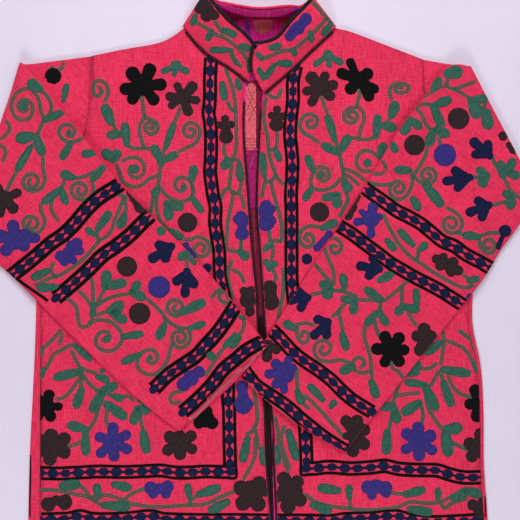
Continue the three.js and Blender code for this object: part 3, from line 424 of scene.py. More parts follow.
# Vines and curls, each a smooth line through its points.
VINES = {
    "front_left": [
        ((105, 101), (108, 93), (106.5, 85), (100, 80.5), (94.5, 83), (93, 89), (95, 95), (99, 95.5),
         (102, 91), (99, 87)),
        ((113, 124), (116, 130), (119, 134)),
        ((127, 144), (131, 147.5), (138, 148.5), (146, 148), (150, 149)),
        ((142, 98), (143, 106), (145, 117), (150, 119), (156, 122), (158, 128), (155, 133), (150, 134),
         (146, 131), (145, 126), (148.5, 122.5), (153, 124), (153, 128.5), (149.5, 128)),
        ((145, 117), (140.5, 124), (139.5, 131), (141.5, 140), (144, 148)),
        ((181, 107), (178, 114), (175, 121)), ((165, 148), (162.5, 155), (161, 161)),
        ((180, 151), (187, 147.5), (194, 144), (198.5, 138), (200, 131), (197, 125.5), (192, 123), (187, 124),
         (184, 129), (185, 134.5), (189.5, 137), (194, 135), (194, 130), (189.5, 129)),
        ((123, 161), (128, 158), (135, 157.5), (141, 160.5), (144.5, 167), (143, 174), (138, 177.5),
         (132, 176.5), (129, 171.5), (130.5, 166.5)),
        ((117, 165), (120, 173), (122, 180), (128, 185), (136, 187), (143, 184), (149, 179), (155, 176.5),
         (159, 175)),
        ((161, 163), (160, 172), (159, 180), (157.5, 190), (156.5, 200), (157, 210), (160, 220), (166, 227)),
        ((160, 187), (164, 193), (170, 198), (177, 201), (185, 201), (191, 197), (193.5, 190), (190.5, 182),
         (184, 177.5), (177.5, 179), (174.5, 185), (177.5, 190), (182.5, 191), (185.5, 187.5), (183, 184)),
        ((191, 182), (193, 190), (192, 197)), ((153, 197), (152, 205), (150, 213)),
        ((184, 239), (190, 239.5), (198, 237), (206, 240), (210, 246), (209, 252), (203.5, 256.5),
         (197, 255.5), (194, 250.5), (196, 245.5), (201, 243.5), (205, 247), (203, 251.5)),
        ((226, 70), (229, 78), (232, 86), (234, 95), (235.5, 108), (236, 122), (236.5, 136), (236, 150),
         (233, 159)),
        ((228, 103), (231, 109), (235, 111)),
        ((225, 143), (224, 150), (226, 157), (231, 160), (238, 160), (240, 165)),
        ((232, 160), (231, 170), (230, 180), (229, 187), (224, 191), (221, 199)),
        ((229, 187), (232, 192), (238, 193), (240.5, 188), (241, 181)), ((238, 193), (242, 198), (244, 207)),
        ((233, 192), (232, 202), (230, 211), (228, 221), (227, 233), (226, 242), (227, 248), (232, 251),
         (238, 251)),
        ((241, 240), (241, 249)), ((231, 262), (228, 272), (229, 284), (232, 296), (230, 303)),
        ((233, 270), (240, 274), (244, 282)), ((60, 331), (54, 338), (46, 346)), ((62, 335), (60, 343)),
        ((70, 345), (62, 350), (54, 354), (50, 361), (47, 367), (44, 371)),
        ((72, 352), (76, 360), (80, 368), (83, 375), (88, 382), (94, 388), (99, 393)),
        ((82, 368), (88, 371), (96, 373)), ((80, 378), (75, 385), (69, 393), (63, 398), (57, 399)),
        ((82, 376), (81, 384), (81, 391)), ((107, 394), (114, 396), (122, 397), (128, 396), (133, 400)),
        ((104, 402), (107, 411), (106, 419), (109, 427)),
        ((100, 400), (98, 410), (95, 420), (90, 428), (86, 434)), ((85, 440), (76, 444), (68, 447)),
        ((140, 412), (141, 421), (143, 430)),
        ((41, 490), (50, 490), (60, 491), (75, 494), (88, 497), (96, 502), (106, 507)),
        ((78, 484), (85, 490), (92, 498), (101, 494)),
        ((96, 500), (105, 495), (115, 497), (125, 501), (133, 504), (145, 506), (160, 507), (175, 506),
         (190, 505), (205, 504), (218, 498), (230, 493), (238, 490)),
        ((124, 500), (133, 493), (144, 489)), ((190, 498), (190, 505)), ((200, 494), (191, 500)),
        ((254, 392), (256, 402), (257, 412), (257, 422), (252, 431), (247, 434)),
        ((255, 428), (257, 438), (258, 447)), ((255, 440), (255, 455), (250, 468), (244, 478)),
    ],
    "front_right": [
        ((391, 99), (389.5, 92), (391.5, 86), (398, 83.5), (405, 84), (409, 87.5), (406.5, 91.5), (400.5, 93),
         (395.5, 91), (396, 87), (402, 87.5)),
        ((390, 116), (388, 121), (384, 125)), ((375, 136), (370, 139), (362, 139.5), (354, 138), (349, 139)),
        ((360, 91), (358, 100), (356, 107), (349.5, 108), (344.5, 113), (344.5, 119), (349.5, 123),
         (355, 121.5), (357.5, 116.5), (354.5, 112), (350, 112), (348.5, 116.5), (352.5, 118)),
        ((357, 106), (363, 112), (364, 120), (361, 128), (359, 136)), ((322, 97), (324, 105), (327, 112)),
        ((335, 140), (338, 147), (340, 154)),
        ((318, 142), (311, 137), (304, 133), (300, 126.5), (301.5, 119.5), (306, 115), (312, 114.5),
         (316.5, 118), (317, 123.5), (313, 127.5), (308, 126.5), (307, 122), (311, 120)),
        ((340, 156), (341.5, 164), (343, 172), (344, 182)),
        ((378, 157), (373, 152.5), (366, 150.5), (360, 153), (356.5, 160), (358, 167), (363, 171),
         (370, 171)),
        ((344, 169), (351, 171), (358, 175), (364, 180)), ((344, 174), (351, 178), (358, 184)),
        ((314, 170), (318, 167), (324.5, 167.5), (329, 172), (328.5, 178), (323.5, 181), (318, 178.5),
         (318, 173.5), (322, 171.5), (325, 175)),
        ((314, 172), (311, 178), (311, 184), (313, 188), (320, 190), (328, 189), (335, 185), (340, 179)),
        ((346, 192), (348, 200), (344, 208), (340, 216)),
        ((325, 228), (318, 227), (310, 226), (303, 229), (299.5, 236), (301.5, 243.5), (307.5, 247),
         (313, 243.5), (313, 237), (308, 233.5), (304.5, 237.5), (308.5, 241)),
        ((281, 90), (278, 97), (273, 97.5), (268, 94)),
        ((266, 99), (264, 110), (264, 120), (266, 130), (268, 140), (268.5, 150), (270.5, 160), (274, 170),
         (278, 179), (283, 184)),
        ((277, 132), (277, 142), (275, 149), (269, 150)), ((264, 172), (265, 181), (263, 190), (262, 196)),
        ((265, 181), (271, 181), (275, 176)),
        ((271, 182), (273, 192), (276, 202), (279, 212), (281, 222), (282, 232), (281, 241), (275, 240)),
        ((269, 231), (270, 239), (273, 248), (272, 258), (270, 268)), ((272, 268), (276, 278), (272, 284)),
        ((283, 270), (283.5, 284), (282, 300), (279, 312), (278, 324)),
        ((442, 330), (444, 338), (443, 350), (441, 363)), ((436, 364), (430, 368), (423, 369)),
        ((438, 372), (434, 380), (431, 385)), ((441, 374), (444, 385)),
        ((447, 341), (455, 344), (463, 348), (469, 355), (473, 363)), ((460, 331), (466, 336), (473, 341)),
        ((448, 376), (452, 385), (459, 393), (470, 397)), ((426, 398), (428, 408), (434, 418), (441, 428)),
        ((421, 405), (423, 415), (421, 426)), ((397, 396), (407, 394), (418, 393)),
        ((395, 372), (399, 380), (397, 390), (394, 400), (395, 408)), ((392, 415), (389, 429)),
        ((449, 440), (457, 445), (468, 450)),
        ((306, 495), (316, 502), (330, 506), (345, 508), (365, 510), (385, 509), (398, 507), (410, 502),
         (425, 503), (440, 502), (450, 497), (458, 493)),
        ((350, 500), (350, 508)), ((407, 492), (400, 494), (392, 493)),
        ((440, 502), (445, 508), (452, 503), (466, 499)),
        ((275, 418), (278, 430), (279, 445), (284, 460), (288, 472)),
        ((284, 427), (281, 440), (285, 455), (289, 466)),
    ],
    "sleeve_left": [
        ((52, 68), (57, 70), (62, 68), (63, 63)),
        ((35, 90), (28, 88.5), (20, 90.5), (14, 97), (11.5, 106), (14, 115), (20, 119.5), (27, 119.5),
         (32, 114), (32.5, 106.5), (29, 101), (23.5, 99.5), (19, 103), (18.5, 108.5), (23, 111.5),
         (28, 109.5)),
        ((31, 89), (37, 96), (40, 104), (41, 111), (44, 119), (41, 126), (37, 136)),
        ((35, 90), (44, 93), (50, 101), (51.5, 109), (48, 116), (44, 120)),
        ((44, 120), (50, 117), (57, 114), (63, 113.5)),
        ((84, 137), (77, 141), (69, 142), (62, 138.5), (59, 132), (61.5, 126.5), (67, 124.5), (73, 127),
         (75, 132), (71.5, 136.5), (67, 134.5)),
        ((37, 134), (35, 142), (30, 148)), ((7, 122), (10, 127), (8, 133), (2, 138)),
        ((0, 145), (4, 148), (6, 154), (3, 160)),
        ((43, 158), (43, 168), (45, 178), (42, 187), (35, 191), (27, 189.5), (23, 183), (25.5, 176.5),
         (32, 174), (37.5, 177.5), (37.5, 184), (33, 187.5), (28.5, 184.5), (30, 179.5)),
        ((16, 173), (12, 180), (9, 186), (6, 192)), ((65, 179), (62, 187), (59, 191)),
        ((53, 197), (51, 207), (53, 214), (58, 220)),
        ((41, 204), (41, 211), (44.5, 219), (43, 228), (36, 233), (28, 231), (23.5, 225), (25, 218.5),
         (31, 216.5), (37, 219.5), (37, 226), (32, 229), (28, 225.5), (30.5, 221)),
        ((92, 181), (93.5, 190), (90, 197), (83, 200), (75, 197.5), (71.5, 191), (73.5, 185), (79.5, 183),
         (85.5, 186), (86, 192), (81.5, 195.5), (77.5, 192), (79, 188)),
        ((75, 178), (83, 177), (90, 174), (98, 171)),
        ((124, 197), (120, 208), (115, 219), (112, 229), (107, 236), (100, 240), (95, 246), (88, 254),
         (80, 262), (70, 269), (60, 275), (48, 279), (36, 285)),
        ((125, 199), (126, 208), (124, 216)), ((118, 194), (125, 197)), ((97, 228), (97, 235), (99, 240)),
        ((53, 264), (51, 271), (56, 277)), ((80, 292), (86, 298), (91, 306)),
        ((92, 280), (93, 290), (93, 302)), ((104, 290), (100, 298), (96, 306)),
        ((96, 306), (105, 300), (115, 296), (127, 294)), ((98, 315), (104, 312), (110, 312)),
        ((92, 316), (92, 322), (86, 326.5), (80, 326), (78, 318), (77, 309), (73, 303), (68, 299)),
        ((90, 322), (98, 320), (108, 321), (115, 325), (121, 332), (122, 340), (118, 347), (110, 351),
         (102, 350), (96, 344), (96.5, 337), (101, 332), (107, 332), (110, 337), (107, 341.5), (102.5, 340)),
        ((139, 357), (137, 365), (141, 371), (149, 374.5), (157, 373), (163, 367), (168, 359), (170, 350),
         (173, 342)),
        ((140, 354), (147, 350), (154, 350.5), (157.5, 356), (156, 361.5), (151, 363.5), (147.5, 360),
         (150, 356)),
        ((147, 299), (154, 305), (160, 311), (165, 318), (164.5, 326)),
        ((184, 311), (178, 316), (171, 314), (167, 308.5), (169, 302.5), (175, 300), (181, 303), (182, 309),
         (177.5, 312), (173, 309), (175.5, 305)),
        ((165, 318), (172, 324), (181, 328), (191, 328)),
        ((189, 329), (190.5, 338), (187, 345), (180, 348), (174, 344), (172, 338), (175, 332.5), (181, 331.5),
         (185.5, 336), (183.5, 341.5), (178, 341.5), (178, 337)),
        ((212, 297), (217, 291), (223, 289)),
        ((229, 303), (223, 302.5), (219, 297.5), (221, 292.5), (226, 293), (228, 298)),
        ((186, 256), (187, 267)),
        ((243, 317), (244, 326), (240, 334), (232, 341), (224, 348), (218, 356), (212, 365), (206, 374)),
        ((181, 391), (174, 393), (170, 398.5), (173, 403), (179, 402)), ((181, 391), (184, 388)),
    ],
    "sleeve_right": [
        ((424, 97), (432, 92), (440, 87), (447, 86)), ((448, 79), (447, 86), (456, 90), (463, 94), (469, 98)),
        ((455, 89), (463, 86), (474, 82)), ((416, 107), (423, 104), (432, 105)),
        ((416, 109), (421, 113), (424, 120), (428, 127), (435, 132)), ((439, 139), (440, 144)),
        ((427, 149), (425, 157), (421, 164), (416, 172), (412, 177)), ((479, 106), (485, 112)),
        ((486, 102), (482, 110)), ((383, 162), (386, 168), (383, 173), (376, 174), (371, 172)),
        ((411, 171), (412.5, 181), (409.5, 191), (403.5, 198), (396.5, 199), (390.5, 194), (390, 187.5),
         (393.5, 182.5), (399.5, 181.5), (404, 186), (402.5, 191.5), (397, 193), (394.5, 188.5),
         (398, 185.5)),
        ((367, 182), (375, 184), (383, 185), (391, 184)),
        ((414, 177), (421, 182.5), (428, 184), (434, 181), (436, 175), (432.5, 169.5), (426.5, 168.5),
         (422, 172.5), (422.5, 178), (427.5, 180), (431, 176.5), (428, 173)),
        ((447, 208), (455, 212), (461, 219), (462, 226), (457.5, 232), (450.5, 233), (444.5, 229),
         (443.5, 222.5), (448, 217.5), (454, 218.5), (456.5, 224), (452, 228), (448, 225)),
        ((457, 232), (464, 235)), ((478, 237), (489, 233), (501, 233)),
        ((479, 239), (480.5, 247), (485.5, 252.5), (491.5, 252.5), (495, 247), (493, 241), (487.5, 239.5),
         (483.5, 243.5), (485.5, 248.5), (490, 247.5)),
        ((473, 177), (480, 178)), ((493, 205), (500, 203), (508, 201)), ((493, 159), (496, 166), (503, 171)),
        ((504, 178), (509, 188), (514, 194), (520, 198)),
        ((384, 215), (387, 223), (392, 232), (397, 241), (403, 249), (410, 256), (420, 263), (430, 270),
         (440, 276), (452, 283), (464, 287.5), (473, 286)),
        ((417, 259), (419, 250)), ((463, 275), (470, 280), (470, 287)),
        ((325, 250), (324, 244), (328.5, 239), (335.5, 238.5), (341, 243.5), (340.5, 250), (335.5, 253.5),
         (331, 250.5), (331.5, 245.5), (336, 246)),
        ((325, 250), (328, 258), (332, 267), (334, 276), (334, 284)),
        ((313, 262), (318, 268), (324, 275), (332, 284)),
        ((350, 299), (362, 300), (372, 300), (381, 301), (385, 300), (393, 294), (400, 288), (406, 282)),
        ((380, 300), (380, 308), (376, 313)), ((380, 308), (382, 314)), ((402, 288), (402, 298), (401, 307)),
        ((344, 287), (340, 291), (333, 290)), ((340, 291), (348, 293), (356, 296)),
        ((345, 304), (339, 311), (341, 322), (343, 332)), ((339, 311), (333, 316)),
        ((365, 326), (364, 336), (367, 346), (370, 356), (371, 366), (372, 378)),
        ((374, 318), (376, 328), (379, 336)), ((408, 312), (411, 318), (416, 325)),
        ((313, 294), (319, 293), (325, 291)),
        ((297, 328), (297.5, 337), (302.5, 343), (308, 340), (308, 333.5), (303, 331.5), (301.5, 336)),
        ((296, 325), (305, 323), (313, 325)),
        ((350, 363), (340, 360), (330, 361.5), (320, 360), (315, 354), (314.5, 347), (318.5, 341.5),
         (325, 340.5), (330.5, 345), (329.5, 351.5), (324, 354.5), (320, 351), (322.5, 346.5)),
        ((371, 371), (362, 373), (354.5, 370), (352.5, 363.5), (356.5, 358), (362, 358.5), (364.5, 363.5),
         (361, 367)),
        ((390, 361), (393, 368), (399, 372), (403, 378)), ((297, 370), (297, 382), (299, 392), (304, 400)),
        ((306, 396), (318, 408), (330, 421), (343, 436)), ((296, 392), (302, 402), (308, 408)),
    ],
    "collar": [
        ((196, 22), (203, 26), (210, 30), (217, 35), (225, 38), (232, 43), (238, 48), (244, 55), (248, 62),
         (249, 71)),
        ((232, 50), (233, 58), (236, 63), (241, 66)), ((215, 21), (220, 29), (223, 33)),
        ((312, 2), (318, 8), (323, 14), (329, 20)), ((326, 19), (319, 27), (312, 34)),
        ((312, 34), (305, 40), (298, 46), (290, 50), (282, 51), (274, 54), (266, 58)),
    ],
}
# Borders: half the width between the cords, the width of a cord, and the middle line's points.
BORDERS = {
    "front_left": [
        (5.6, 3.5, ((211, 58), (210, 78), (210, 92), (209.5, 104), (208.5, 113), (210, 122), (211, 135),
                    (211, 150), (210.5, 163), (210, 172), (211.5, 184), (213, 195), (215.5, 207), (215, 222),
                    (217, 237), (219, 250), (219.5, 262), (220, 275), (222, 286), (225, 300), (228, 340),
                    (228, 395), (229, 410), (229.5, 440), (230, 465))),
        (5.6, 3.4, ((40, 473), (60, 473.5), (80, 472.5), (100, 471.5), (120, 472), (140, 471.5), (160, 470.5),
                    (175, 472.5), (190, 472.5), (205, 471.5), (222, 472), (231, 472))),
        (5.6, 3.4, ((38, 519.5), (68, 518.5), (80, 516), (95, 519), (125, 518.5), (150, 516), (165, 519),
                    (200, 520), (235, 520), (270, 520.5))),
    ],
    "front_right": [
        (5.6, 3.5, ((296, 66), (293, 82), (293, 100), (291, 118), (290, 135), (291.5, 150), (292.5, 163),
                    (292, 178), (291, 195), (291.5, 212), (291.5, 235), (291.5, 262), (292, 285), (298, 340),
                    (303, 400), (305.5, 437), (306.5, 462))),
        (5.9, 3.5, ((306, 468.5), (315, 468.5), (330, 467), (350, 468.5), (370, 467.5), (385, 466),
                    (400, 469), (420, 470), (437, 470.5), (450, 474.5), (465, 477.5), (486, 477))),
        (5.6, 3.4, ((270, 520.5), (300, 520.5), (330, 521), (345, 519), (370, 518), (395, 516), (410, 519.5),
                    (430, 522), (460, 521), (490, 519))),
    ],
    "sleeve_left": [
        (5.9, 4.4, ((10, 277), (35, 257), (50, 244), (64, 234), (76, 222), (87, 209), (100, 197), (116, 187),
                    (126, 180))),
        (5.9, 4.4, ((56, 298), (75, 282), (90, 268), (102, 256), (115, 247), (130, 235), (142, 223),
                    (154, 212))),
        (5.8, 4.2, ((154, 389), (167, 376), (181, 366), (196, 356), (207, 344), (217, 333), (227, 319),
                    (237, 303))),
        (5.6, 4.2, ((183, 412), (200, 397), (213, 383), (223, 370), (236, 359), (247, 350), (258, 344),
                    (268, 340))),
    ],
    "sleeve_right": [
        (5.7, 3.5, ((360, 184), (370, 192), (383, 201), (397, 211), (409, 217), (421, 224), (431, 232),
                    (442, 241), (455, 246.5), (465, 254), (480, 262), (492, 269))),
        (5.7, 3.5, ((330, 220), (341, 227), (352, 234), (364, 243), (380, 255), (392, 264), (404, 271),
                    (416, 278), (430, 285), (441, 291), (452, 298), (466, 307))),
        (5.7, 3.5, ((268, 326), (281, 339), (291, 350), (303, 360), (318, 370), (331, 380), (342, 391),
                    (354, 401), (372, 412))),
        (5.5, 3.5, ((243, 368), (255, 384), (270, 394.5), (286, 405.5), (304, 421), (327, 439), (348, 452))),
    ],
}
# Plain cords and seams: the thread, the width and the points.
CORDS = {
    "sleeve_left": [
        ("black", 3.4, ((17, 279), (28, 287), (39, 294.5), (48, 301))),
        ("rim", 3.4, ((266, 347), (250, 363), (236, 374), (222, 388), (210, 400), (198, 413), (190, 420))),
    ],
    "sleeve_right": [
        ("rim", 1.2, ((243, 377), (262, 396), (284, 413), (304, 430), (327, 447), (340, 454))),
    ],
    "side_strip_left": [
        ("black", 1.8, ((30.5, 455), (30.5, 475), (30, 500), (30, 517))),
    ],
    "side_strip_right": [
        ("black", 1.8, ((485.3, 496), (485.5, 508), (485.7, 517))),
    ],
    "front_left": [
        ("black", 3.4, ((235.2, 455), (235.8, 466), (235.8, 477.5), (226, 477.8))),
        ("seam", 0.9, ((93, 56), (93, 78), (92, 100))), ("rim", 0.8, ((44, 437), (45, 447), (49, 458))),
        ("seam", 0.9, ((42, 325), (41, 380), (41, 440), (40, 515))),
    ],
    "front_right": [
        ("black", 3.4, ((300.8, 455), (301, 464), (301.5, 474.5), (311, 474.5))),
    ],
}
# Patches of the lining, and strips of painted shade down the front slit: the colour, the half width and the
# points.
PATCHES = [
    ("light", 0.7, ((239.5, 8), (239.5, 20), (240, 32))),
    ("violet", 2.6, ((247.5, 8), (247.5, 22), (248.5, 38))), ("salmon", 7, ((260, 12), (260, 26))),
    ("salmon", 7, ((267, 12), (266, 26))), ("salmon", 5, ((262, 29), (264, 29))),
    ("violet", 4, ((274, 11), (296, 10))), ("salmon", 2.6, ((279, 11), (289, 11))),
    ("salmon", 4, ((285, 22), (289, 20))), ("wine", 0.7, ((252, 14.5), (270, 16), (285, 16.5), (298, 14.5))),
    ("wine", 8, ((254, 88), (254, 140))), ("salmon", 6, ((251, 88), (251, 145))),
    # painted shade: the plum, wine and dark strips darken the lining down the front slit, deepest towards the
    # hem
    ("plum", 8, ((253, 158), (253, 205))), ("wine", 8, ((255, 214), (258, 314))),
    ("dark", 6, ((263, 320), (268, 520))),
]
# Running stitches of the lining: the colour and the points.
RUNNING = [
    ("wine", ((247, 86), (252, 97), (258, 108), (262, 118))), ("wine", ((258, 86), (252, 98), (247, 110))),
    ("wine", ((262, 95), (255, 108), (249, 120))), ("wine", ((247, 96), (253, 108), (260, 121))),
    ("light", ((250, 86), (251, 100), (250, 120))), ("light", ((253, 158), (252, 162), (250.5, 167))),
    ("salmon", ((253.5, 212), (254.5, 232), (255.5, 250))), ("wine", ((247, 139), (260, 139))),
    ("wine", ((247, 142), (260, 142))), ("wine", ((247, 145), (260, 145))),
    ("wine", ((247, 148), (260, 148))), ("wine", ((247, 151), (260, 151))),
    ("light", ((255, 22), (263, 20), (272, 21))), ("light", ((255, 25), (264, 23), (272, 25))),
    ("light", ((256, 28), (264, 27), (271, 29))), ("light", ((257, 31), (263, 30), (268, 31))),
]


# ---- Settings ----
FULL_SHADE = 255  # the steps of a colour code, and the curve from the code to linear values
DARK_SLOPE = 12.92
DARK_END = 0.04045
SHADE_SHIFT = 0.055
SHADE_POWER = 2.4
LARGEST_LENGTH = 0.01
LENGTH_DIGITS = 5


def linear(code):
    """A colour's linear values, from its usual six-digit code."""
    shares = [int(code[at : at + 2], 16) / FULL_SHADE for at in (0, 2, 4)]
    return tuple(
        share / DARK_SLOPE
        if share <= DARK_END
        else ((share + SHADE_SHIFT) / (1 + SHADE_SHIFT)) ** SHADE_POWER
        for share in shares
    )


def colour(name, description, code):
    """A setting for a colour."""
    return bpy.props.FloatVectorProperty(
        name=name, description=description, subtype="COLOR", size=3, min=0, max=1, default=linear(code)
    )


def length(name, description, default):
    """A setting for a length."""
    limits = {"min": 0, "max": LARGEST_LENGTH, "precision": LENGTH_DIGITS}
    return bpy.props.FloatProperty(
        name=name, description=description, unit="LENGTH", default=default, **limits
    )


class JacketColours(bpy.types.PropertyGroup):
    """Colours of the jacket's cloth and threads."""

    ground: colour("Ground", "The handwoven cotton", "fb3a66")
    ground_dark: colour("Ground, dark threads", "Slubs in the cotton", "a3122f")
    ground_light: colour("Ground, light threads", "Faded threads in the cotton", "ff5f7c")
    black: colour("Black", "Borders, edgings and black flowers", "030305")
    brown: colour("Brown-black", "Dark brown flowers", "2f2024")
    navy: colour("Navy", "Beads of the borders and small buds", "10183e")
    purple: colour("Purple", "Purple flowers", "372d7a")
    green: colour("Green", "Leaves", "336153")
    vine: colour("Vine", "Vines and curls", "5c6e60")
    rim: colour("Cuff rim", "Pale edge of the cuffs", "ff7d98")
    seam: colour("Seams", "Seams and thick threads of the cotton", "b5163c")
    lining: colour("Lining", "Main cloth of the lining", "f0209a")
    violet: colour("Lining, violet", "Patches of the lining", "9430ae")
    salmon: colour("Lining, salmon", "Patches of the lining", "e8606e")
    # Plum and dark are painted shade on the lining down the front slit, and so is wine there; elsewhere wine
    # is the lining's seams and running stitches
    plum: colour("Lining, plum", "Patches of the lining in the front slit", "a51a62")
    wine: colour("Lining, wine", "Seams and running stitches of the lining", "7a1233")
    dark: colour("Lining, in shade", "The lining low in the front slit", "2a0812")
    light: colour("Lining, pale", "Pale threads of the lining", "f08cc0")
    table: colour("Table", "The surface that the jacket lies on", "dcd3e6")


class JacketSizes(bpy.types.PropertyGroup):
    """Heights of the stitches and the cloth's ripple."""

    ripple: length("Ripple", "How far the cloth ripples up and down", RIPPLE)
    fill: length("Filled motifs", "How far leaves and flowers stand up", FILL_HEIGHT)
    link: length("Vines", "How far the chain stitches of the vines stand up", LINK_HEIGHT)
    cord: length("Border cords", "How far the cords of the borders stand up", CORD_HEIGHT)
    crochet: length("Crochet stitch", "Length of one stitch of the edgings", CROCHET_PITCH)


def colours():
    """The colours that are set."""
    return bpy.context.scene.jacket_colours


def sizes():
    """The sizes that are set."""
    return bpy.context.scene.jacket_sizes


# ---- Finishes ----
class Finish:
    """A material and its nodes, added one by one."""

    def __init__(self, name, roughness, sheen=0.0):
        self.material = bpy.data.materials.new(name)
        self.material.use_nodes = True
        self.tree = self.material.node_tree
        self.shader = self.tree.nodes["Principled BSDF"]
        self.shader.inputs["Roughness"].default_value = roughness
        self.shader.inputs["Sheen Weight"].default_value = sheen
        self.shader.inputs["Specular IOR Level"].default_value = GLOSS

    def add(self, kind, inputs, output=0, **options):
        """Adds a node, and returns one of its outputs."""
        node = self.tree.nodes.new(kind)
        for key, value in options.items():
            setattr(node, key, value)
        for key, value in inputs.items():
            if isinstance(value, bpy.types.NodeSocket):
                self.tree.links.new(value, node.inputs[key])
            else:
                node.inputs[key].default_value = value
        return node.outputs[output]

    def stretched(self, place, width, height):
        """The place, measured in steps of this width and height."""
        return self.add("ShaderNodeMapping", {"Vector": place, "Scale": (1 / width, 1 / height, 1)})

    def speckle(self, place, width, height, detail=FINE_DETAIL):
        """Soft spots of this width and height."""
        inputs = {"Vector": self.stretched(place, width, height), "Scale": 1.0, "Detail": detail}
        return self.add("ShaderNodeTexNoise", inputs)

    def grain(self, scale, detail=FINE_DETAIL):
        """Soft spots all through a piece, this many to a metre."""
        place = self.add("ShaderNodeTexCoord", {}, "Object")
        return self.add("ShaderNodeTexNoise", {"Vector": place, "Scale": scale, "Detail": detail})

    def bands(self, place, pitch, direction, stray):
        """Bands like threads that lie side by side."""
        inputs = {
            "Vector": place,
            "Scale": 2 * math.pi / (WAVE_STEPS * pitch),
            "Distortion": stray,
            "Detail": FINE_DETAIL,
            "Detail Scale": BAND_DETAIL,
        }
        return self.add("ShaderNodeTexWave", inputs, bands_direction=direction)

    def between(self, value, low, high):
        """How far a value has come from low to high, from 0 to 1."""
        return self.add("ShaderNodeMapRange", {"Value": value, "From Min": low, "From Max": high})

    def mix(self, share, first, second, blend="MIX"):
        """The first colour, with a share of the second in it."""
        node = self.tree.nodes.new("ShaderNodeMix")
        node.data_type = "RGBA"
        node.blend_type = blend
        for key, value in (("Factor_Float", share), ("A_Color", first), ("B_Color", second)):
            socket = next(item for item in node.inputs if item.identifier == key)
            if isinstance(value, bpy.types.NodeSocket):
                self.tree.links.new(value, socket)
            elif key == "Factor_Float":
                socket.default_value = value
            else:
                socket.default_value = (*value[:3], 1)
        return next(item for item in node.outputs if item.identifier == "Result_Color")

    def join(self, operation, first, second):
        """Two values joined by a sum, a product or the like."""
        return self.add("ShaderNodeMath", {0: first, 1: second}, operation=operation)

    def done(self, shade, height, strength, distance, pucker=None):
        """Links the colour and the bump, on top of any puckers, to the shader, and returns the material."""
        self.tree.links.new(shade, self.shader.inputs["Base Color"])
        inputs = {"Height": height, "Strength": strength, "Distance": distance}
        if pucker:
            puckers = {"Height": pucker, "Strength": PUCKER_STRENGTH, "Distance": PUCKER_DEPTH}
            inputs["Normal"] = self.add("ShaderNodeBump", puckers)
        bump = self.add("ShaderNodeBump", inputs)
        self.tree.links.new(bump, self.shader.inputs["Normal"])
        return self.material


def tint(shade, factor):
    """A colour made darker or lighter."""
    return tuple(min(1.0, share * factor) for share in shade)


def handwoven_cotton(name, ground, dark, light, slubs):
    """Handwoven cloth: coarse threads both ways, with dark and faded slubs along them and soft blotches."""
    finish = Finish(name, COTTON_ROUGHNESS, COTTON_SHEEN)
    place = finish.add("ShaderNodeUVMap", {}, uv_map="UVMap")
    warp = finish.bands(place, THREAD_PITCH, "X", THREAD_STRAY)
    weft = finish.bands(place, THREAD_PITCH, "Y", THREAD_STRAY)
    across = finish.speckle(place, *SLUB_ACROSS, SLUB_DETAIL)
    along = finish.speckle(place, *SLUB_ALONG, SLUB_DETAIL)
    blotch = finish.speckle(place, *BLOTCH)
    shade = ground
    kinds = ((across, DARK_ACROSS, dark), (along, LIGHT_ALONG, light), (along, DARK_ALONG, dark))
    for spots, span, slub in kinds:
        shade = finish.mix(finish.join("MULTIPLY", finish.between(spots, *span), slubs), shade, slub)
    blotched = finish.mix(1.0, shade, BLOTCH_SHADE, "MULTIPLY")
    shade = finish.mix(finish.between(blotch, *SOFT_SPAN), shade, blotched)
    threads = finish.join("MULTIPLY", warp, weft)
    shade = finish.mix(finish.join("MULTIPLY", finish.between(threads, *GAP_SPAN), GAP_SHARE), shade, dark)
    height = finish.join("ADD", finish.join("MULTIPLY", threads, THREAD_LIFT), across)
    pucker = finish.speckle(place, PUCKER, PUCKER, PUCKER_DETAIL)
    return finish.done(shade, height, *COTTON_BUMP, pucker)


def embroidery_thread(name, shade, pale):
    """Rows of chain stitch in one thread, which is lighter and darker from stitch to stitch, with painted
    highlights and painted shade.
    """
    finish = Finish(name, STITCH_ROUGHNESS, STITCH_SHEEN)
    place = finish.add("ShaderNodeUVMap", {}, uv_map="UVMap")
    rows = finish.bands(place, ROW_PITCH, "X", ROW_STRAY)
    steps = finish.bands(place, STITCH_PITCH, "DIAGONAL", STITCH_STRAY)
    dye = finish.speckle(place, DYE_PATCH, DYE_PATCH, DYE_DETAIL)
    body = finish.mix(finish.between(dye, *DYE_SPAN), tint(shade, DYE_DARK), tint(shade, DYE_LIGHT))
    # painted highlight: the crests, where rows and stitches both stand highest, are paler
    shine = finish.join("MULTIPLY", finish.join("MULTIPLY", rows, steps), HIGHLIGHT_SHARE)
    stitches = finish.mix(shine, body, pale)
    depth = finish.add("ShaderNodeSeparateXYZ", {"Vector": place})
    # painted shade: the grooves between rows and the outermost thread of a motif are darkened
    rim = finish.join("MAXIMUM", finish.between(rows, *ROW_GROOVE), finish.between(depth, RIM_SHADE, 0.0))
    grooves = finish.mix(finish.join("MULTIPLY", rim, GROOVE_SHARE), stitches, tint(shade, GROOVE_SHADE))
    height = finish.join("ADD", rows, finish.join("MULTIPLY", steps, STITCH_LIFT))
    return finish.done(grooves, height, *STITCH_BUMP)


def crochet_thread(name, shade):
    """Black thread crocheted over the edge of the cloth."""
    finish = Finish(name, CROCHET_ROUGHNESS, CROCHET_SHEEN)
    fine = finish.grain(CROCHET_GRAIN)
    body = finish.mix(finish.between(fine, *CROCHET_SPAN), shade, CROCHET_PALE)
    return finish.done(body, fine, *CROCHET_BUMP)


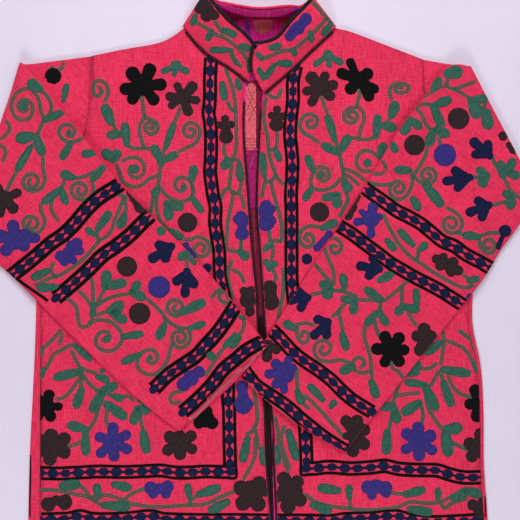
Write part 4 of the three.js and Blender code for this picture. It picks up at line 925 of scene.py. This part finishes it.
def pale_table(name, shade):
    """A plain pale surface."""
    finish = Finish(name, TABLE_ROUGHNESS)
    grain = finish.grain(TABLE_GRAIN, TABLE_DETAIL)
    body = finish.mix(finish.between(grain, *SOFT_SPAN), shade, tint(shade, TABLE_SHADE))
    return finish.done(body, grain, *TABLE_BUMP)


def kept_material(name, make, *values):
    """The material of this name, made the first time that it is asked for."""
    return bpy.data.materials.get(name) or make(name, *values)


def cotton():
    """The jacket's main cloth."""
    shades = colours()
    values = (shades.ground, shades.ground_dark, shades.ground_light, SLUBS)
    return kept_material("handwoven_cotton", handwoven_cotton, *values)


def lining_cotton():
    """The main cloth of the lining."""
    shades = colours()
    values = (shades.lining, tint(shades.lining, LINING_DARK), shades.light, LINING_SLUBS)
    return kept_material("lining_cotton", handwoven_cotton, *values)


def thread(shade_name):
    """The embroidery thread of one colour."""
    shade = getattr(colours(), shade_name)
    pale = tuple(HIGHLIGHT_GAIN * share + HIGHLIGHT_ADDED for share in shade)
    return kept_material("thread_" + shade_name, embroidery_thread, shade, pale)


# ---- Making pieces ----
def select_only(piece):
    """Selects a piece and nothing else."""
    bpy.ops.object.select_all(action="DESELECT")
    piece.select_set(True)
    bpy.context.view_layer.objects.active = piece


def add_piece(name, mesh, material, replaced=()):
    """Puts a finished mesh in the scene as a piece of the jacket."""
    piece = bpy.data.objects.new(name, mesh)
    bpy.context.scene.collection.objects.link(piece)
    mesh.materials.clear()
    mesh.materials.append(material)
    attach(piece, "root")
    if replaced:
        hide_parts(*replaced)
    return piece


def merged_copy(node):
    """A copy of a CAD node's mesh, with its loose triangles joined into quads."""
    mesh = frame["nodes"][node].data.copy()
    mesh.name = node
    shape = bmesh.new()
    shape.from_mesh(mesh)
    bmesh.ops.remove_doubles(shape, verts=shape.verts, dist=MERGE)
    limits = {"angle_face_threshold": QUAD_BEND, "angle_shape_threshold": QUAD_SKEW}
    bmesh.ops.join_triangles(shape, faces=shape.faces, **limits)
    crease = shape.edges.layers.float.new("crease_edge")
    for edge in shape.edges:
        if edge.calc_face_angle(0) > RIM_ANGLE:
            edge[crease] = 1
    shape.to_mesh(mesh)
    shape.free()
    return mesh


def cloth_name(node):
    """The name of the piece that a cloth's solid becomes."""
    return "cloth_" + node


def ripple(mesh, share):
    """Lifts the cloth in soft ripples, both of its faces alike."""
    places = np.empty(len(mesh.vertices) * 3)
    mesh.vertices.foreach_get("co", places)
    places = places.reshape(-1, 3)
    for place in places:
        lift = 0.5  # the noise runs from -1 to 1, and the lift from 0 to 1
        for size, part in RIPPLES:
            lift += 0.5 * part * noise.noise(Vector((place[0] / size, place[1] / size, size * RIPPLE_LAYERS)))
        place[2] += max(0.0, lift) * share
    mesh.vertices.foreach_set("co", places.ravel())


def eased(share):
    """A share from 0 to 1, with its ends rounded off."""
    share = min(1.0, max(0.0, share))
    return share * share * (3 - 2 * share)


def on_table(x, y):
    """A chart point's place on the table."""
    return Vector(((x - ORIGIN[0]) * SQUARE, (ORIGIN[1] - y) * SQUARE))


def fold(mesh, x0, y0, x1, y1, lift):
    """Raises the cloth along a line, with a steep fall on its left and a gentle one on its right."""
    start, end = on_table(x0, y0), on_table(x1, y1)
    way = (end - start).normalized()
    for vertex in mesh.vertices:
        place = vertex.co.xy - start
        along = place.dot(way)
        aside = place.x * way.y - place.y * way.x
        width = (FOLD_GENTLE if aside > 0 else FOLD_STEEP) * SQUARE
        ends = min(along, (end - start).length - along) / (FOLD_ENDS * SQUARE)
        moved = min(1.0, max(0.0, vertex.co.z / FOLD_FOOT))
        vertex.co.z += lift * eased(1 - abs(aside) / width) * eased(ends) * moved


def weave_map(mesh, degrees):
    """Gives the cloth a UV map in metres, turned as its threads run."""
    turn = math.radians(degrees)
    layer = mesh.uv_layers.get("UVMap") or mesh.uv_layers.new(name="UVMap")
    for loop in mesh.loops:
        place = mesh.vertices[loop.vertex_index].co
        across = place.x * math.cos(turn) + place.y * math.sin(turn)
        along = place.y * math.cos(turn) - place.x * math.sin(turn)
        layer.data[loop.index].uv = (across, along)


def make_cloth(node, turn, lift, slot, width, long, area, held, rests_on):
    """Makes one cloth piece from its solid: rounded, rippled and folded, with the lie of its weave."""
    mesh = merged_copy(node)
    material = lining_cotton() if slot == "lining" else cotton()
    piece = add_piece(cloth_name(node), mesh, material, (node,))
    if node not in FLAT_PIECES:
        select_only(piece)
        rounding = piece.modifiers.new("Rounding", "SUBSURF")
        rounding.levels = rounding.render_levels = CLOTH_LEVELS
        bpy.ops.object.modifier_apply(modifier=rounding.name)
    if lift:
        ripple(piece.data, lift * sizes().ripple)
    for folded, *line in FOLDS:
        if folded == node:
            fold(piece.data, *line)
    weave_map(piece.data, turn)
    select_only(piece)
    bpy.ops.object.shade_smooth_by_angle(angle=RIM_ANGLE)


# ---- Stitches ----
grounds = {}


def ground(panel):
    """The surface of a cloth that stitches are laid on. The two linings are one surface."""
    if panel not in grounds:
        nodes = LININGS if panel == "lining" else (panel,)
        places = []
        faces = []
        for node in nodes:
            mesh = bpy.data.objects[cloth_name(node)].data
            start = len(places)
            places.extend(vertex.co.copy() for vertex in mesh.vertices)
            faces.extend([start + index for index in face.vertices] for face in mesh.polygons)
        grounds[panel] = BVHTree.FromPolygons(places, faces)
    return grounds[panel]


def laid_on(panel, x, y, height):
    """Where a chart point lies on a cloth, as seen from above, or None beside it."""
    target = on_table(x, y).to_3d()
    hit, normal, _, _ = ground(panel).ray_cast(SEEN_FROM, (target - SEEN_FROM).normalized())
    if hit is None or normal.z < STEEP:
        return None
    return hit + normal * height


class Stitching:
    """Stitches of one thread on one cloth, gathered in chart squares and then laid on the cloth."""

    def __init__(self, panel, shade):
        self.panel = panel
        self.shade = shade
        self.points = []
        self.rows = []
        self.faces = []

    def add(self, points, rows, faces):
        """Gathers one more stitch or motif."""
        start = len(self.points)
        self.points.extend(points)
        self.rows.extend(rows)
        self.faces.extend([start + index for index in face] for face in faces)

    def lay(self, name, slot="edging"):
        """Lays what was gathered, without the faces that fall beside the cloth, and makes one piece of it."""
        places = [laid_on(self.panel, *point) for point in self.points]
        kept = {}
        faces = []
        for face in self.faces:
            corners = [places[index] for index in face]
            if None in corners:
                continue
            if max((corners[at] - corners[at - 1]).length for at in range(len(corners))) > LONGEST:
                continue
            faces.append([kept.setdefault(index, len(kept)) for index in face])
        if not faces:
            return
        mesh = bpy.data.meshes.new(name)
        mesh.from_pydata([places[index] for index in kept], [], faces)
        rows = [self.rows[index] for index in kept]
        layer = mesh.uv_layers.new(name="UVMap")
        for loop in mesh.loops:
            layer.data[loop.index].uv = rows[loop.vertex_index]
        mesh.shade_smooth()
        add_piece(name, mesh, thread(self.shade))


def even_path(points, step):
    """A smooth line through the points, with the unit way along it, at even steps."""
    knots = np.array([points[0], *points, points[-1]], dtype=float)
    knots[0] = 2 * knots[1] - knots[2]
    knots[-1] = 2 * knots[-2] - knots[-3]
    share = np.linspace(0, 1, LINE_PARTS, endpoint=False)[:, None]
    parts = []
    for first, start, end, last in zip(knots, knots[1:], knots[2:], knots[3:]):
        bend = 2 * first - 5 * start + 4 * end - last
        twist = 3 * start - first - 3 * end + last
        parts.append(0.5 * (2 * start + (end - first) * share + bend * share**2 + twist * share**3))
    line = np.concatenate([*parts, knots[-2:-1]])
    travel = np.concatenate([[0], np.cumsum(np.hypot(*np.diff(line, axis=0).T))])
    count = max(2, round(travel[-1] / step) + 1)
    stops = np.linspace(0, travel[-1], count)
    path = np.stack([np.interp(stops, travel, line[:, axis]) for axis in range(line.shape[1])], axis=1)
    ways = np.gradient(path, axis=0)
    ways /= np.maximum(np.linalg.norm(ways, axis=1, keepdims=True), TINY)
    return path, ways


def depth_in(limbs, across, down):
    """How deep each place lies inside a shape made of tapered limbs."""
    deepest = np.full(across.shape, -np.inf)
    for x0, y0, r0, x1, y1, r1 in limbs:
        run_x, run_y = x1 - x0, y1 - y0
        reach = max(run_x**2 + run_y**2, TINY)
        share = np.clip(((across - x0) * run_x + (down - y0) * run_y) / reach, 0, 1)
        away = np.hypot(across - x0 - run_x * share, down - y0 - run_y * share)
        deepest = np.maximum(deepest, r0 + (r1 - r0) * share - away)
    return deepest


def fill(stitching, limbs, height):
    """A motif filled with stitches: a raised pad, whose rim is tucked into the cloth."""
    table = np.array(limbs, dtype=float)
    wide = table[:, [2, 5]].max() + 2 * CELL
    xs = np.arange(table[:, [0, 3]].min() - wide, table[:, [0, 3]].max() + wide, CELL)
    ys = np.arange(table[:, [1, 4]].min() - wide, table[:, [1, 4]].max() + wide, CELL)
    across, down = np.meshgrid(xs, ys)
    depth = depth_in(limbs, across, down)
    first, second = [run * across + fall * down for run, fall in WOBBLE_WAVES]
    depth += FILL_WOBBLE * np.sin(first) * np.cos(second)
    kept = depth[:-1, :-1] + depth[1:, :-1] + depth[:-1, 1:] + depth[1:, 1:] > 0
    ring = np.pad(kept, 1).astype(int)
    touching = ring[:-1, :-1] + ring[1:, :-1] + ring[:-1, 1:] + ring[1:, 1:]
    rim = (touching > 0) & (touching < 4)
    slope_y, slope_x = np.gradient(depth, CELL)
    back = np.clip(depth / np.maximum(slope_x**2 + slope_y**2, LEAST_SLOPE), -CELL, CELL) * rim
    across = across - slope_x * back
    down = down - slope_y * back
    rise = np.clip(depth / FILL_EDGE, 0, 1)
    heights = np.where(rim, -TUCK, height * rise * (2 - rise))
    used = np.argwhere(touching > 0)
    numbers = {tuple(cell): at for at, cell in enumerate(used.tolist())}
    points = [(across[r, c], down[r, c], heights[r, c]) for r, c in used]
    rows = [(depth[r, c] * SQUARE, (across[r, c] + down[r, c]) * SQUARE) for r, c in used]
    faces = []
    for r, c in np.argwhere(kept).tolist():
        faces.append([numbers[(r, c)], numbers[(r + 1, c)], numbers[(r + 1, c + 1)], numbers[(r, c + 1)]])
    stitching.add(points, rows, faces)


def leaf_limbs(x0, y0, x1, y1, width):
    """A leaf from its stem end to its tip, widest past the middle."""
    long = math.hypot(x1 - x0, y1 - y0)
    run_x, run_y = (x1 - x0) / long, (y1 - y0) / long
    stem, middle, tip = LEAF_STEM * width, LEAF_MIDDLE * width, LEAF_TIP * width
    start = LEAF_START * min(stem, long / 2)
    centre, end = LEAF_WIDEST * long, max(long - tip, long / 2)
    steps = ((start, stem), (centre, middle), (end, tip))
    marks = [(x0 + run_x * at, y0 + run_y * at, radius) for at, radius in steps]
    return [(*marks[0], *marks[1]), (*marks[1], *marks[2])]


def bloom_limbs(core, petals):
    """A flower: its core, and a limb out to the end of each petal."""
    x, y, radius = core
    limbs = [(x, y, radius, x, y, radius)]
    for end_x, end_y, end_radius in petals:
        limbs.append((x, y, PETAL_NECK * min(radius, end_radius), end_x, end_y, end_radius))
    return limbs


def chain(stitching, points, height):
    """A line of chain stitch, each link a loop of thread."""
    path, ways = even_path(points, LINK_PITCH)
    for (x, y), (way_x, way_y) in zip(path, ways):
        ring = []
        rows = []
        for step in range(LINK_POINTS):
            turn = 2 * math.pi * step / LINK_POINTS
            along, aside = math.cos(turn), math.sin(turn)
            for out, rise in ((LINK_THREAD, -TUCK), (0, height), (-LINK_THREAD, -TUCK / 2)):
                ahead = along * (LINK_LENGTH / 2 + out)
                sideways = aside * (LINK_WIDTH / 2 * (1 - LINK_TAPER * along) + out)
                place = (x + way_x * ahead - way_y * sideways, y + way_y * ahead + way_x * sideways)
                ring.append((*place, rise))
                rows.append((out * SQUARE, turn * SQUARE))
        faces = []
        for step in range(LINK_POINTS):
            here, there = 3 * step, 3 * ((step + 1) % LINK_POINTS)
            faces.append((here, there, there + 1, here + 1))
            faces.append((here + 1, there + 1, there + 2, here + 2))
        stitching.add(ring, rows, faces)


def cord(stitching, points, width, height):
    """A couched cord: a ridge of thread with the lie of its twist."""
    path, ways = even_path(points, CORD_STEP)
    ridge = []
    rows = []
    for at, ((x, y), (way_x, way_y)) in enumerate(zip(path, ways)):
        swell = 1 + CORD_SWELL * math.sin(at * CORD_WAVES[0]) * math.cos(at * CORD_WAVES[1])
        for aside, rise in CORD_SECTION:
            twist = 1 + TWIST * math.sin(at * TWIST_TURN + aside * TWIST_LEAN)
            off = aside * width / 2 * swell
            lift = height * rise * twist if rise > 0 else -TUCK
            ridge.append((x - way_y * off, y + way_x * off, lift))
            rows.append((aside * width / 2 * SQUARE, at * CORD_STEP * SQUARE))
    rails = len(CORD_SECTION)
    faces = []
    for at in range(len(path) - 1):
        for rail in range(rails - 1):
            here = at * rails + rail
            faces.append((here, here + rails, here + rails + 1, here + 1))
    stitching.add(ridge, rows, faces)


def border(black, navy, half, width, points, heights):
    """Two cords with a row of beads between them."""
    path, ways = even_path(points, BORDER_STEP)
    for side in (-1, 1):
        off = side * half
        line = [(x - way_y * off, y + way_x * off) for (x, y), (way_x, way_y) in zip(path, ways)]
        cord(black, line, width, heights[0])
    cord(navy, [tuple(place) for place in path], BEAD_LINK, heights[1] * BEAD_LINK_HEIGHT)
    stops, ways = even_path(points, BEAD_PITCH)
    for at, ((x, y), (way_x, way_y)) in enumerate(zip(stops, ways)):
        radius = BEAD_RADIUS + BEAD_SPREAD * math.sin(at * BEAD_BEAT)
        run_x, run_y = way_x * BEAD_RUN, way_y * BEAD_RUN
        fill(navy, [(x - run_x, y - run_y, radius, x + run_x, y + run_y, radius)], heights[1])


def tube_centres(node, radius):
    """The middle of each ring of a CAD tube, in order from one end to the other."""
    left = [vertex.co.copy() for vertex in merged_copy(node).vertices]
    centres = []
    reach = RING_REACH * radius
    while left:
        first = left[0]
        ring = [place for place in left if (place - first).length < reach]
        left = [place for place in left if (place - first).length >= reach]
        centres.append(sum(ring, Vector()) / len(ring))
    line = [max(centres, key=lambda place: place.y)]
    centres.remove(line[0])
    while centres:
        nearest = min(centres, key=lambda place: (place - line[-1]).length)
        centres.remove(nearest)
        line.append(nearest)
    return line


def make_edging(node, radius, pitch):
    """A crocheted edging: a cord with one swell for each stitch."""
    path, ways = even_path([tuple(place) for place in tube_centres(node, radius)], pitch / CROCHET_RINGS)
    places = []
    for at, (place, way) in enumerate(zip(path, ways)):
        side = Vector(way).cross(Vector((0, 0, 1))).normalized()
        up = side.cross(Vector(way)).normalized()
        for spoke in range(CROCHET_SIDES):
            turn = 2 * math.pi * spoke / CROCHET_SIDES
            stitch = 2 * math.pi * at / CROCHET_RINGS + CROCHET_LEAN * math.sin(turn)
            swell = 1 + CROCHET_SWELL * math.sin(stitch)
            out = side * math.cos(turn) + up * math.sin(turn)
            places.append(Vector(place) + out * radius * swell)
    rings = len(path)
    last = range((rings - 1) * CROCHET_SIDES, rings * CROCHET_SIDES)
    faces = [list(range(CROCHET_SIDES)), list(reversed(last))]
    for at in range(rings - 1):
        for spoke in range(CROCHET_SIDES):
            here = at * CROCHET_SIDES + spoke
            there = at * CROCHET_SIDES + (spoke + 1) % CROCHET_SIDES
            faces.append([here, here + CROCHET_SIDES, there + CROCHET_SIDES, there])
    mesh = bpy.data.meshes.new(node)
    mesh.from_pydata(places, [], faces)
    shape = bmesh.new()
    shape.from_mesh(mesh)
    bmesh.ops.recalc_face_normals(shape, faces=shape.faces)
    shape.to_mesh(mesh)
    shape.free()
    mesh.shade_smooth()
    material = kept_material("crochet_thread", crochet_thread, colours().black)
    add_piece("crochet_" + node, mesh, material, (node,))


# ---- Operators ----
class JACKET_OT_cloth(bpy.types.Operator):
    """Makes the cotton and lining pieces from their solids"""

    bl_idname = "jacket.cloth"
    bl_label = "Cloth pieces"

    def execute(self, context):
        for row in CLOTHS:
            make_cloth(*row)
        return {"FINISHED"}


class JACKET_OT_edgings(bpy.types.Operator):
    """Crochets the black edgings of the fronts, the neck and the collar"""

    bl_idname = "jacket.edgings"
    bl_label = "Crocheted edgings"

    def execute(self, context):
        for node, radius in EDGINGS.items():
            make_edging(node, radius, sizes().crochet)
        return {"FINISHED"}


class JACKET_OT_borders(bpy.types.Operator):
    """Lays the black cords and navy beads of the borders"""

    bl_idname = "jacket.borders"
    bl_label = "Borders"

    def execute(self, context):
        heights = (sizes().cord, sizes().fill)
        for panel, rows in BORDERS.items():
            black = Stitching(panel, "black")
            navy = Stitching(panel, "navy")
            for half, width, points in rows:
                border(black, navy, half, width, points, heights)
            black.lay("border_cords_" + panel)
            navy.lay("border_beads_" + panel)
        return {"FINISHED"}


class JACKET_OT_seams(bpy.types.Operator):
    """Lays the plain cords, the cuff rims and the seams"""

    bl_idname = "jacket.seams"
    bl_label = "Seams"

    def execute(self, context):
        for panel, rows in CORDS.items():
            threads = {}
            for shade, width, points in rows:
                stitching = threads.setdefault(shade, Stitching(panel, shade))
                cord(stitching, points, width, sizes().cord * min(1, width / SEAM_FULL))
            for shade, stitching in threads.items():
                stitching.lay("seam_" + shade + "_" + panel)
        return {"FINISHED"}


class JACKET_OT_leaves(bpy.types.Operator):
    """Fills the green leaves"""

    bl_idname = "jacket.leaves"
    bl_label = "Leaves"

    def execute(self, context):
        for panel, rows in LEAVES.items():
            green = Stitching(panel, "green")
            for row in rows:
                fill(green, leaf_limbs(*row), sizes().fill)
            green.lay("leaves_" + panel)
        return {"FINISHED"}


class JACKET_OT_flowers(bpy.types.Operator):
    """Fills the flowers, buds and berries"""

    bl_idname = "jacket.flowers"
    bl_label = "Flowers"

    def execute(self, context):
        for panel, rows in BLOOMS.items():
            threads = {}
            for shade, core, *petals in rows:
                stitching = threads.setdefault(shade, Stitching(panel, shade))
                fill(stitching, bloom_limbs(core, petals), sizes().fill)
            for shade, stitching in threads.items():
                stitching.lay("flowers_" + shade + "_" + panel)
        return {"FINISHED"}


class JACKET_OT_vines(bpy.types.Operator):
    """Chain-stitches the vines and curls"""

    bl_idname = "jacket.vines"
    bl_label = "Vines"

    def execute(self, context):
        for panel, rows in VINES.items():
            vine = Stitching(panel, "vine")
            for points in rows:
                chain(vine, points, sizes().link)
            vine.lay("vines_" + panel)
        return {"FINISHED"}


class JACKET_OT_patches(bpy.types.Operator):
    """Patches the lining, paints shade down the front slit, and sews its running stitches"""

    bl_idname = "jacket.patches"
    bl_label = "Lining patches"

    def execute(self, context):
        threads = {}
        for at, (shade, half, points) in enumerate(PATCHES):
            stitching = threads.setdefault(shade, Stitching("lining", shade))
            limbs = [(*start, half, *end, half) for start, end in zip(points, points[1:])]
            fill(stitching, limbs, PATCH_HEIGHT + at * PATCH_RISE)
        for shade, points in RUNNING:
            stitching = threads.setdefault(shade, Stitching("lining", shade))
            path, ways = even_path(points, RUNNING_PITCH)
            for (x, y), (way_x, way_y) in zip(path, ways):
                ends = [(x + way_x * run, y + way_y * run) for run in (-RUNNING_HALF, 0, RUNNING_HALF)]
                cord(stitching, ends, RUNNING_WIDTH, RUNNING_HEIGHT)
        for shade, stitching in threads.items():
            stitching.lay("lining_" + shade, "lining")
        return {"FINISHED"}


class JACKET_OT_stage(bpy.types.Operator):
    """Makes the table, the light and the camera"""

    bl_idname = "jacket.stage"
    bl_label = "Stage"

    def execute(self, context):
        bpy.ops.object.select_all(action="DESELECT")
        bpy.ops.mesh.primitive_plane_add(size=TABLE_WIDTH, location=(0, 0, TABLE_DROP))
        table = context.active_object
        table.name = "table"
        table.data.materials.append(kept_material("pale_table", pale_table, colours().table))

        world = context.scene.world or bpy.data.worlds.new("World")
        context.scene.world = world
        world.use_nodes = True
        sky = world.node_tree.nodes["Background"].inputs
        sky["Color"].default_value = SKY_COLOUR
        sky["Strength"].default_value = SKY_STRENGTH

        for name, place, size, power in LAMPS:
            lamp = bpy.data.lights.new(name, "AREA")
            lamp.size = size
            lamp.energy = power
            holder = bpy.data.objects.new(name, lamp)
            holder.location = place
            holder.rotation_euler = (-Vector(place)).to_track_quat("-Z", "Y").to_euler()
            context.scene.collection.objects.link(holder)

        lens = bpy.data.cameras.new("camera")
        lens.sensor_width = SENSOR
        lens.lens = SENSOR * SEEN_FROM.z / VIEW_WIDTH
        camera = bpy.data.objects.new("camera", lens)
        camera.location = SEEN_FROM
        context.scene.collection.objects.link(camera)
        context.scene.camera = camera
        context.scene.view_settings.view_transform = "Standard"
        return {"FINISHED"}


STEPS = (
    JACKET_OT_stage, JACKET_OT_cloth, JACKET_OT_edgings, JACKET_OT_borders, JACKET_OT_seams, JACKET_OT_leaves,
    JACKET_OT_flowers, JACKET_OT_vines, JACKET_OT_patches,
)


class JACKET_PT_panel(bpy.types.Panel):
    """Lists the jacket's steps, sizes and colours"""

    bl_idname = "JACKET_PT_panel"
    bl_label = "Suzani Jacket"
    bl_space_type = "VIEW_3D"
    bl_region_type = "UI"
    bl_category = "Jacket"

    def draw(self, context):
        for step in STEPS:
            self.layout.operator(step.bl_idname)
        for group in (context.scene.jacket_sizes, context.scene.jacket_colours):
            for name in group.bl_rna.properties.keys():
                if name not in ("rna_type", "name"):
                    self.layout.prop(group, name)


CLASSES = (JacketColours, JacketSizes, *STEPS, JACKET_PT_panel)


def register():
    for item in CLASSES:
        bpy.utils.register_class(item)
    bpy.types.Scene.jacket_colours = bpy.props.PointerProperty(type=JacketColours)
    bpy.types.Scene.jacket_sizes = bpy.props.PointerProperty(type=JacketSizes)


def unregister():
    del bpy.types.Scene.jacket_sizes
    del bpy.types.Scene.jacket_colours
    for item in reversed(CLASSES):
        bpy.utils.unregister_class(item)


def main():
    register()
    bpy.ops.jacket.stage()
    bpy.ops.jacket.cloth()
    bpy.ops.jacket.edgings()
    bpy.ops.jacket.borders()
    bpy.ops.jacket.seams()
    bpy.ops.jacket.leaves()
    bpy.ops.jacket.flowers()
    bpy.ops.jacket.vines()
    bpy.ops.jacket.patches()


if __name__ == "__main__":
    main()
